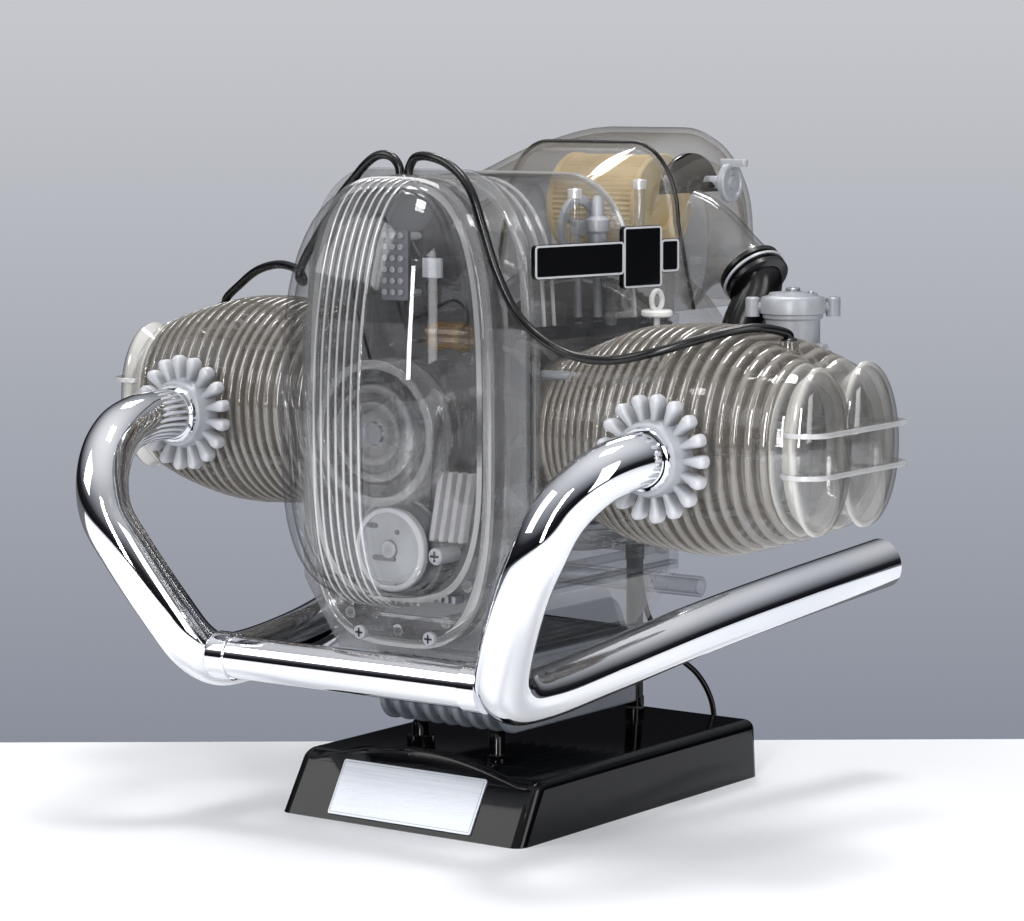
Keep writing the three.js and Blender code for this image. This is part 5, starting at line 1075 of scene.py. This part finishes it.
# Bell housing and flywheel
def make_bell():
    centre = (0, 0, CRANK_Z)
    cup = lathe([(6.3, 28.3), (52, 28.3), (54.6, 29), (55.5, 31), (55.5, 60.6), (56, 61), (56, 66),
                 (55.6, 66.3), (53, 66.3), (53, 31.4), (52.4, 30.8), (6.3, 30.8)], "y", centre, 96,
                [0, 0, 0.4, 0.2, 0.1, 0.8, 0.9, 0.9, 0.9, 0.2, 0.2, 0])
    ribs = joined(slab(round_crank(a, spoke(14, 52.6, 0.9)), "y", 30.7, 33.4) for a in angles(12, 0.5))
    lugs = joined(ring(3.4, 1.5, 60, 66.2, "y", off_crank(52.6, a), 24) for a in (0.9, 2.24, 4.04, 5.38))
    foot = block(-7, 7, 56.3, 77.2, 86, 91)
    piece("bell_cup", cup + ribs + lugs + foot, CASE_CLEAR, nodes=["bell_housing"])
    gear = slab(wheel([49 if i % 2 else 47.6 for i in range(216)], 0, CRANK_Z), "y", 40, 44.2)
    disc = lathe([(6, 34.3), (46.8, 34.3), (47.4, 35), (47.4, 43.8), (39, 43.8), (38.4, 40.6), (16, 40.6),
                  (15, 43.2), (6, 43.2)], "y", centre, 96, [0, 0.2, 0.6, 0.6, 0.7, 0, 0, 0.8, 0])
    holes = joined(ring(4.6, 3.2, 40, 41.4, "y", off_crank(28, a), 28) for a in angles(6))
    bolts = joined(hex_bolt(off_crank(10.5, a, 43.1), 2, 1.6, "y") for a in angles(5))
    piece("toothed_flywheel", gear + disc + holes + bolts, METAL, body="crankshaft", nodes=["flywheel"])


make_bell()


# Cylinders, heads and valve covers
FIN_SHARES = [(0, 0.68), (0.09, 0.79), (0.24, 0.95), (0.42, 1), (0.55, 0.995), (0.62, 0.975), (0.72, 0.91),
              (0.8, 0.845), (0.87, 0.765), (0.94, 0.69), (1, 0.62)]
WIDTH_SHARES = [(0, 1), (0.54, 1), (0.7, 0.96), (0.8, 0.9), (0.88, 0.82), (1, 0.75)]
VALLEY_SHARES = [(0, 0), (0.6, 0), (0.75, 0.5), (0.9, 1), (1, 1)]
BARREL_PITCH, HEAD_PITCH, FIN_THICK, FIN_DEPTH = 4.3, 4.9, 3.1, 2.9


def share_along(x):
    return (x - FIN_FOOT) / (COVER_TIP - FIN_FOOT)


def fin_radius(x):
    return FIN_RADIUS * smooth_table(FIN_SHARES, share_along(x))


def smooth_table(table, share):
    """Reads a table with its corners rounded over a short span."""
    span = 0.035
    return sum(read_table(table, min(1, max(0, share + k * span / 2))) for k in (-2, -1, 0, 1, 2)) / 5


def head_section(x, inset, count=72):
    height = fin_radius(x) - inset
    width = FIN_RADIUS * smooth_table(WIDTH_SHARES, share_along(x)) - inset
    valley = 6 * smooth_table(VALLEY_SHARES, share_along(x))
    points = []
    for y, z in rounded(width, height, height, 2.3, count):
        sink = valley * math.exp(-((y / 8) ** 2)) if abs(z) > height / 3 else 0
        points.append((x, y, z - math.copysign(sink, z)))
    return points


def engine_side(sign, cylinder_y):
    """Turns a place measured from the right cylinder's own axis into the engine's frame."""
    return lambda p: (sign * p.x, p.y + cylinder_y, p.z + CRANK_Z)


def fin_rows(start, end, near_pitch, outline, inner, outer, loop=False):
    """Rounded fins along the cylinder between the rings of its inner and outer hollow."""
    count = round((end - start - FIN_THICK) / near_pitch)
    pitch = (end - start - FIN_THICK) / count
    rings, glow = [], []
    # Third value of each profile step is its glow: painted highlight on the fin tips, the roots left at the
    # darker body colour
    profile = ((0, FIN_DEPTH, 0), (0.04, 0.9, 0.2), (0.14, 0.25, 0.5), (0.3, 0, 0.75), (0.7, 0, 0.75),
               (0.86, 0.25, 0.5), (0.96, 0.9, 0.2), (1, FIN_DEPTH, 0))
    for i in range(count + 1):
        for share, inset, light in profile:
            rings.append(outline(start + i * pitch + share * FIN_THICK, inset))
            glow.append(light)
    glow = [0] * len(inner) + glow + [0] * len(outer)
    return loft(inner + rings + outer, loop=loop, glow=glow)


def round_ring(x, radius, count=80):
    return [(x, u, v) for u, v in circle(radius, count)]


def barrel_ring(x, inset):
    return round_ring(x, fin_radius(x) - inset)


def make_cylinder(side, sign, cylinder_y):
    place = engine_side(sign, cylinder_y)
    mouths = [round_ring(x, BORE_RADIUS) for x in (FIN_FOOT, BARREL_END)]
    fins = fin_rows(FIN_FOOT, BARREL_END, BARREL_PITCH, barrel_ring, mouths[:1], mouths[1:], True)
    foot = ring(25.8, 22.5, 44.5, 53.5, "x", (0, 0, 0), 64)
    piece(f"barrel_{side}", (fins + foot).moved(place), FIN, nodes=[f"cylinder_{side}"],
          sharp=60)
    studs = joined(bar(1.6, (50, u, v), (107, u, v), 14) for v in (21, -21) for u in (21, -21))
    piece(f"cylinder_studs_{side}", studs.moved(place), METAL)
    chamber = [round_ring(x, r, 72) for x, r in ((121, 8), (118.6, 15), (114, 20), (HEAD_START, 22.4))]
    rocker_box = [[(x, y, z) for _, y, z in head_section(HEAD_END, 4.8)] for x in (HEAD_END, 129)]
    head_fins = fin_rows(HEAD_START, HEAD_END, HEAD_PITCH, head_section, chamber, rocker_box)
    exhaust = ring(12, 7, -47, -34, "y", (PORT_X, 0, -PORT_DROP), 48)
    intake = ring(9, 6.5, 30, 40.6, "y", (PORT_X, 0, 12), 40)
    plug_z = PLUG_TOP - CRANK_Z - 0.3
    plug = ring(3.4, 1.4, plug_z - 7, plug_z, "z", (SOCKET_X, SOCKET_Y, 0), 28)
    piece(f"head_{side}", (head_fins + exhaust + intake + plug).moved(place), FIN,
          nodes=[f"cylinder_head_{side}"], sharp=60)
    cap = lathe([(1.7, plug_z - 1.4), (2.9, plug_z - 1.4), (2.9, plug_z + 0.4), (2.3, plug_z + 1),
                 (1.75, plug_z + 1.2)], "z", (SOCKET_X, SOCKET_Y, 0), 28)
    piece(f"spark_socket_{side}", cap.moved(place), RUBBER)
    mould_line = [Vector((x, -FIN_RADIUS * smooth_table(WIDTH_SHARES, share_along(x)) + 0.1, 0))
                  for x in (blend(HEAD_START, HEAD_END, i / 11) for i in range(12))]
    piece(f"head_parting_{side}", tube(mould_line, 0.55, 8).moved(place), CLEAR)


LOBE_Y, LOBE_HALF_WIDTH, LOBE_HALF_HEIGHT, LOBE_POWER, COVER_SKIN = 15.6, 16.8, 28.5, 2.1, 1.5


def lobe_rings(half, inset, lifts):
    rings = []
    for lift in lifts:
        share = max(0.0, 1 - abs(lift) ** LOBE_POWER) ** (1 / LOBE_POWER)
        x = BLOCK_END + lift * (COVER_TIP - BLOCK_END - inset)
        rings.append([(x, u + half * LOBE_Y, v) for u, v in rounded(
            (LOBE_HALF_WIDTH - inset) * share, *[(LOBE_HALF_HEIGHT - inset) * share] * 2, 2.05, 56)])
    return rings


def make_valve_cover(side, sign, cylinder_y):
    place = engine_side(sign, cylinder_y)
    base = [head_section(x, inset) for x, inset in (
        (156.4, 6), (COVER_START, 4.8), (COVER_START, 3.4), (COVER_START, 0.4), (COVER_START + 0.6, 0),
        (154, 0), (156.4, 0.5), (157.6, 1.5), (BLOCK_END, 3.2))]
    block_form = loft(base, glow=[0, 0.2, 0.4, 0.9, 0.7, 0.1, 0.2, 0.6, 0.3])
    lifts = [math.sin(i / 12 * math.pi / 2) for i in range(13)]
    lobes = Form()
    for half in (-1, 1):
        outer = lobe_rings(half, 0, [-0.55] + lifts)
        inner = lobe_rings(half, COVER_SKIN, [-0.55] + lifts)
        # Painted highlight on the lowest rings of each lobe, where it rises from the block
        light = [0.9, 1.0, 0.8, 0.3] + [0.0] * (len(outer) - 4)
        lobes = lobes + loft(outer + inner[::-1], loop=True, glow=light + [0.0] * len(inner))
    piece(f"valve_cover_lobes_{side}", (block_form + lobes).moved(place), LOBE, nodes=[f"valve_cover_{side}"])
    half, tip = 33.3, COVER_TIP + 1
    outline = rounded_box(COVER_START + 0.4, tip, -half, half, 8.7, 10)
    hollow = rounded_box(COVER_START + 2.4, tip - 2.4, -half + 2.4, half - 2.4, 6.3, 10)
    rails = joined(flat_ring("z", outline, hollow, z - 0.9, z + 0.9, [0.3, 1, 1, 0.3]) for z in (-7, 7))
    piece(f"valve_cover_rails_{side}", rails.moved(place), CLEAR, bevel=0.35)
    bracket = []
    for y in (-ROCKER_Y, ROCKER_Y):
        bracket += [block(140, 152.4, y - 1.5, y + 1.5, low, high) for low,
                    high in ((6.4, 9), (-24.2, -21.4))]
        bracket.append(rod(1.5, -24.2, 9.2, "z", (ROCKER_X, y, 0), 20))
    piece(f"rocker_brackets_{side}", joined(bracket).moved(place), SATIN, bevel=0.3)
    for half, name in ((-1, "exhaust"), (1, "intake")):
        coil, inward, foot = valve_spring(half)
        spring = piece(f"{name}_valve_spring_{side}", coil.moved(place), METAL)
        tuple(c * MM for c in place(foot))
        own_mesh(spring)


def valve_spring(half):
    """A coil spring round one valve stem, with its direction and the middle of its foot."""
    tilt = math.radians(20.6)
    tip = Vector((ROCKER_X - 11 * math.sin(tilt), half * (ROCKER_Y + 11 * math.cos(tilt)), 0))
    inward = Vector((-math.cos(tilt), -half * math.sin(tilt), 0))
    side = Vector((0, 0, 1))
    across = inward.cross(side)
    path = []
    for i in range(97):
        angle = i / 96 * 5 * 2 * math.pi
        path.append(tip + inward * (7.2 + i / 96 * 7.4) + side * 3.1 * math.cos(angle)
                    + across * 3.1 * math.sin(angle))
    return tube(path, 0.45, 8), inward, tip + inward * 15.05


NUT_FINS = 17


def make_exhaust_nut(side, sign, cylinder_y):
    place = engine_side(sign, cylinder_y)
    front, back = -51, -44.2
    petals = Form()
    for middle in angles(NUT_FINS):
        radial = Vector((math.cos(middle), 0, math.sin(middle)))
        tangent = Vector((-math.sin(middle), 0, math.cos(middle)))
        centre = Vector((PORT_X, 0, -PORT_DROP))
        rings = []
        for share in (0, 0.25, 0.5, 0.7, 0.86, 0.95, 1):
            radius = blend(12.6, 21.7, share)
            width = blend(1.15, 2.75, share ** 1.1) * (
                1 if share < 0.7 else max(0.12, math.sqrt(max(0, 1 - ((share - 0.7) / 0.3) ** 2))))
            bend = -1.4 * share ** 2
            depth = (back - front) / 2 * (
                1 if share < 0.7 else max(0.3, 1 - 0.5 * ((share - 0.7) / 0.3) ** 2))
            outline = rounded(width, depth, depth, 3, 16)
            rings.append([tuple(centre + radial * radius + tangent * u
                                + Vector((0, (front + back) / 2 + v + bend, 0))) for u, v in outline])
        petals = petals + loft(rings, glow=[0, 0.1, 0.3, 0.6, 0.8, 0.9, 1])
    collar = lathe([(10.6, -44.4), (13.2, -44.4), (13.2, -50.6), (12.4, -51.4), (12.4, -53.4), (11.8, -54),
                    (10.6, -54)], "y", (PORT_X, 0, -PORT_DROP), 64)
    piece(f"finned_nut_{side}", (petals + collar).moved(place), SATIN, nodes=[f"exhaust_nut_{side}"],
          sharp=50)
    sleeve = lathe([(9.7, -55.6), (10.5, -55.6), (10.9, -55), (10.9, -46), (9.7, -46)], "y",
                   (PORT_X, 0, -PORT_DROP), 64)
    piece(f"nut_sleeve_{side}", sleeve.moved(place), CHROME)


CARB_Y, INLET_HEIGHT = 55.4, 22


def make_carburettor(side, sign, cylinder_y):
    place = engine_side(sign, cylinder_y)
    centre = (105, CARB_Y, 0)
    bowl = lathe([(0, 4), (6.9, 4), (9.2, 5.2), (9.8, 6.6), (9.8, 13.4), (10.4, 13.8), (10.4, 16),
                  (9.8, 16.4), (9.8, 37.8), (10.8, 38.6), (10.8, 39.8), (11.8, 40.2), (11.8, 44.8),
                  (11.2, 45.8), (8.9, 46.5), (8.4, 47.4), (3.2, 47.7), (3.2, 48), (0, 48.1)], "z", centre, 56)
    turn = math.radians(36)
    ears = []
    lift = Vector((0, 0, 42.4))
    for angle in (turn + math.pi, turn):
        tip, root = (Vector((centre[0] + reach * math.cos(angle), centre[1] + reach * math.sin(angle), 0))
                     for reach in (14.4, 9))
        ears.append(lathe([(0, 39), (2.6, 39), (2.6, 45.4), (2.1, 45.9), (0, 45.9)], "z", tuple(tip), 24))
        ears.append(bar(1.9, root + lift, tip + lift, 20))
    inlet = lathe([(5.6, 92.4), (8, 92.4), (8.3, 93), (8.3, 95), (7.6, 95.6), (7.6, 100), (5.6, 100)], "x",
                  (0, CARB_Y, INLET_HEIGHT), 40)
    outlet = tube(spline([(105, 54.4, 13), (108, 48, 12.5), (112.6, 43, 12), (114.5, 40.9, 12)], 6), 7.2, 32)
    side_boss = rod(4, 109, 118.4, "x", (0, CARB_Y, 26), 28) + rod(2, 118, 120.2, "x", (0, CARB_Y, 26), 20)
    ribs = joined(block(104.2, 105.8, y, y + 1.4, 17, 36) for y in (44.9, 64.6))
    piece(f"carburettor_body_{side}", (bowl + joined(ears) + inlet + outlet + side_boss + ribs).moved(place),
          SATIN, nodes=[f"carburettor_{side}"])
    knob = (rod(2.6, 47.8, 49.2, "z", centre, 24)
            + rod(1.1, 41.2, 48.2, "z", (centre[0] + 7.4, centre[1], 0), 16))
    piece(f"carburettor_screw_{side}", knob.moved(place), METAL)


DUCT_TOP, DUCT_END = Vector((38, 86.5, 58.5)), Vector((79.3, 66.5, 54.8))
DUCT_FACING = Vector((0.72, -0.22, -0.66)).normalized()
BOOT_REACH = 8


def duct_rings(inset, start, end, steps=16):
    rings = []
    for i in range(steps + 1):
        share = blend(start, end, i / steps)
        held = min(1, max(0, share))
        eased = held * held * (3 - 2 * held)
        normal = Vector((1, 0, 0)).lerp(DUCT_FACING, eased).normalized()
        across = normal.cross(Vector((0, 0, 1))).normalized()
        upright = across.cross(normal)
        centre = DUCT_TOP.lerp(DUCT_END, share) + Vector((0, 0, 3.4 * math.sin(held * math.pi)))
        depth, height = blend(10, 10.4, eased) - inset, blend(24, 10.4, eased ** 0.8) - inset
        rings.append([tuple(centre + across * u + upright * v) for u, v in
                      ((depth * a, height * b) for a, b in circle(1, 56))])
    return rings


def make_intake(side, sign, cylinder_y):
    place = engine_side(sign, cylinder_y)
    outer, inner = duct_rings(0, 0.17, 1), duct_rings(1.5, 0.17, 1)
    glow = [0.8] + [0.1] * (len(outer) - 2) + [0.8]
    shell = loft(outer + inner[::-1], loop=True, glow=glow + glow[::-1])
    piece(f"duct_funnel_{side}", shell.moved(place), CASE_CLEAR, nodes=[f"intake_duct_{side}"])
    start = DUCT_END + DUCT_FACING * 0.2
    band_path = [start + DUCT_FACING * (BOOT_REACH * i / 20) for i in range(21)]
    radii = [12 - (0.9 if i in (6, 7, 13, 14) else 0) - (0.8 if i in (0, 20) else 0) for i in range(21)]
    band = tube(band_path, radii, 48)
    inlet_x = 91.9
    path = spline([start, band_path[-1], (inlet_x - 8.6, 56.2, 31.5), (inlet_x - 5, CARB_Y, 23.6),
                   (inlet_x + 0.6, CARB_Y, INLET_HEIGHT)], 8)
    hose = tube(path, [9.6 - 1.6 * min(1, i / 10) for i in range(len(path))], 48)
    cuff = ring(10, 8.2, inlet_x - 2.6, inlet_x + 1.6, "x", (0, CARB_Y, INLET_HEIGHT), 48)
    piece(f"rubber_boot_{side}", (band + hose + cuff).moved(place), RUBBER, nodes=[f"intake_boot_{side}"])
    piece(f"boot_clamp_{side}", tube(band_path[9:12], 12.5, 48, bore=11.9).moved(place), SATIN)


for side_name, (side_sign, side_y) in SIDES.items():
    for make in (make_cylinder, make_valve_cover, make_exhaust_nut, make_carburettor, make_intake):
        make(side_name, side_sign, side_y)


# Exhaust
HEADER_RADIUS, HEADER_BORE = 9.5, 8.3
HEADER_LOW = [(88, -123.4, 100), (75.5, -115.5, 77.5), (69, -108.5, 64.5), (66.5, -99, 58.5),
              (66.5, -84, 57.5), (68, -48, 61), (76, 4.6, 69.5), (84, 50, 76), (92, 106, 82.5)]
HEADER_HIGH = {
    "right": [(113.5, -98, 142), (108.5, -110, 137.5), (101, -120, 126.5), (95.6, -124.7, 113.5)],
    "left": [(112.5, -80, 142.7), (109.8, -93, 142), (107, -105, 139), (103.6, -115.5, 132),
             (99.6, -122.5, 122), (95.2, -125, 111.5)],
}


def make_exhaust():
    for side, (sign, y) in SIDES.items():
        mouth = y - 47.3
        route = [(PORT_X, mouth, CRANK_Z - PORT_DROP),
                 (PORT_X, mouth - HEADER_RADIUS / 2, CRANK_Z - PORT_DROP)]
        route += HEADER_HIGH[side] + HEADER_LOW
        path = spline([(sign * x, y, z) for x, y, z in route], 12)
        piece(f"chrome_header_{side}", tube(path, HEADER_RADIUS, 64, bore=HEADER_BORE), CHROME,
              nodes=[f"header_pipe_{side}"])
    sleeve, half = 8.7, 60
    profile = [(0, -half), (sleeve, -half), (sleeve, 7.4 - half), (sleeve - 0.5, 7.9 - half), (7.8, 8 - half),
               (7.8, half - 8), (sleeve - 0.5, half - 7.9), (sleeve, half - 7.4), (sleeve, half), (0, half)]
    piece("chrome_cross_pipe", lathe(profile, "x", (0, -104.7, 61.5), 64), CHROME, nodes=["cross_pipe"])


# Badge, choke lever and dipstick
BADGE_TURN, BADGE_X, BADGE_Y, BADGE_Z = math.radians(-12), 60.18, -34, 204.6


def on_badge(p):
    c, s = math.cos(BADGE_TURN), math.sin(BADGE_TURN)
    return (p.x * c - p.y * s + BADGE_X, p.x * s + p.y * c + BADGE_Y, p.z + BADGE_Z)


def badge_frame(y0, y1, z0, z1, corner):
    outer = rounded_box(y0, y1, z0, z1, corner, 5)
    inner = rounded_box(y0 + 0.7, y1 - 0.7, z0 + 0.7, z1 - 0.7, max(corner - 0.7, 0.3), 5)
    return flat_ring("x", outer, inner, 0.9, 1.25)


def make_badge():
    long_plate = slab(rounded_box(-35, 35, -6, 6, 1.6, 5), "x", -1, 1, 0.2)
    tall = slab(rounded_box(7.3, 26.3, -11, 11, 1.4, 5), "x", -1.15, 1.15, 0.2)
    piece("bare_badge", (long_plate + tall).moved(on_badge), BLACK, nodes=["badge_plate"])
    trim = badge_frame(-34.8, 7.6, -5.8, 5.8, 1.5) + badge_frame(26, 34.8, -5.8, 5.8, 1.5)
    raised = badge_frame(7.5, 26.1, -10.8, 10.8, 1.3).moved(lambda p: (p.x + 0.1, p.y, p.z))
    piece("badge_trim", (trim + raised).lit(1).moved(on_badge), SATIN)
    stubs = joined(lathe([(0, 46.6), (2.6, 46.6), (2.6, 52), (3.2, 52.4), (3.2, far - 1), (0, far - 1)], "x",
                         (0, y, BADGE_Z), 28) for y, far in ((-58, 55.6), (-10, 65)))
    piece("badge_stubs", stubs, CASE_CLEAR)


def make_choke():
    y, z, start = 65.5, 228, 46.8
    disc = lathe([(0, start - 9), (2.4, start - 9), (2.4, start - 2.4), (4, start - 2.2), (4, start - 0.2),
                  (6.9, start), (7.4, start + 0.5), (7.4, start + 2.5), (6.9, start + 3), (5.6, start + 3),
                  (5.3, start + 2.4), (2.6, start + 2.4), (2.4, start + 3.4), (0, start + 3.6)], "x",
                 (0, y, z), 48)
    grip = slab(rounded_box(43.8, 55.8, y - 1.5, y + 1.5, 1.45, 6), "z", z + 5.9, z + 8.9, 0.5)
    web = block(start + 0.4, start + 2.6, y - 1, y + 1, z + 2, z + 7)
    piece("choke_knob", disc + grip + web, SATIN, body="choke", nodes=["choke_lever"])


def make_dipstick():
    x, y, seat = 54.3, 7, 181.5
    cap = lathe([(0, seat), (5.2, seat), (5.8, seat + 0.6), (5.8, seat + 1.7), (5.2, seat + 2.4),
                 (0, seat + 2.6)], "z", (x, y, 0), 44)
    stick = rod(1.2, seat - 36, seat + 1, "z", (x, y, 0), 20)
    loop_path = [Vector((x, y + 3.4 * math.cos(a), seat + 2.4 + 3.4 + 3.4 * math.sin(a)))
                 for a in (2 * math.pi * i / 40 for i in range(41))]
    piece("dipstick_handle", cap + stick + tube(loop_path, 1, 14), WHITE, body="oil_dipstick",
          nodes=["dipstick"])


make_exhaust()
make_badge()
make_choke()
make_dipstick()


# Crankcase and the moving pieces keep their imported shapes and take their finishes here
def dress(finish, *nodes):
    for node in nodes:
        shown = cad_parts[node]
        shown.data.materials.clear()
        shown.data.materials.append(finish)


def make_case_details():
    """Bolt posts, ledges and a front flange on the clear crankcase."""
    posts = joined(lathe([(0, -64), (2.6, -64), (2.6, -50), (1.7, -49.4), (1.7, 24), (2.6, 24.6), (2.6, 27),
                          (0, 27)], "y", (sign * BOLT_POST_X, 0, z), 20, [0, 0.9, 0.3, 0.5, 0.1, 0.5, 0.8, 0])
                   for sign in (-1, 1) for z in (174, 114, 94))
    piece("case_bolt_posts", posts, CLEAR)
    ledges = joined(block(*sorted((sign * 46.4, sign * 50.1)), -65.2, 27.6, z, z + 1.6) for sign in (-1, 1)
                    for z in (116, 88))
    piece("case_ledges", ledges.lit(0.3), CASE_CLEAR, bevel=0.3)
    flange = joined(block(*sorted((sign * 50.2, sign * 52.2)), -65.7, -62.4, 88, 180.8) for sign in (-1, 1))
    piece("case_front_flange", flange.lit(0.5), CASE_CLEAR, bevel=0.6)


make_case_details()
dress(CASE_CLEAR, "crankcase")
dress(METAL, "crank_front", "crank_centre_web", "crank_rear", "camshaft")
for side_name in SIDES:
    dress(SATIN, f"piston_{side_name}")
    dress(METAL, *(f"{name}_{side_name}" for name in (
        "con_rod", "exhaust_rocker", "intake_rocker", "exhaust_valve", "intake_valve", "exhaust_pushrod",
        "intake_pushrod")))
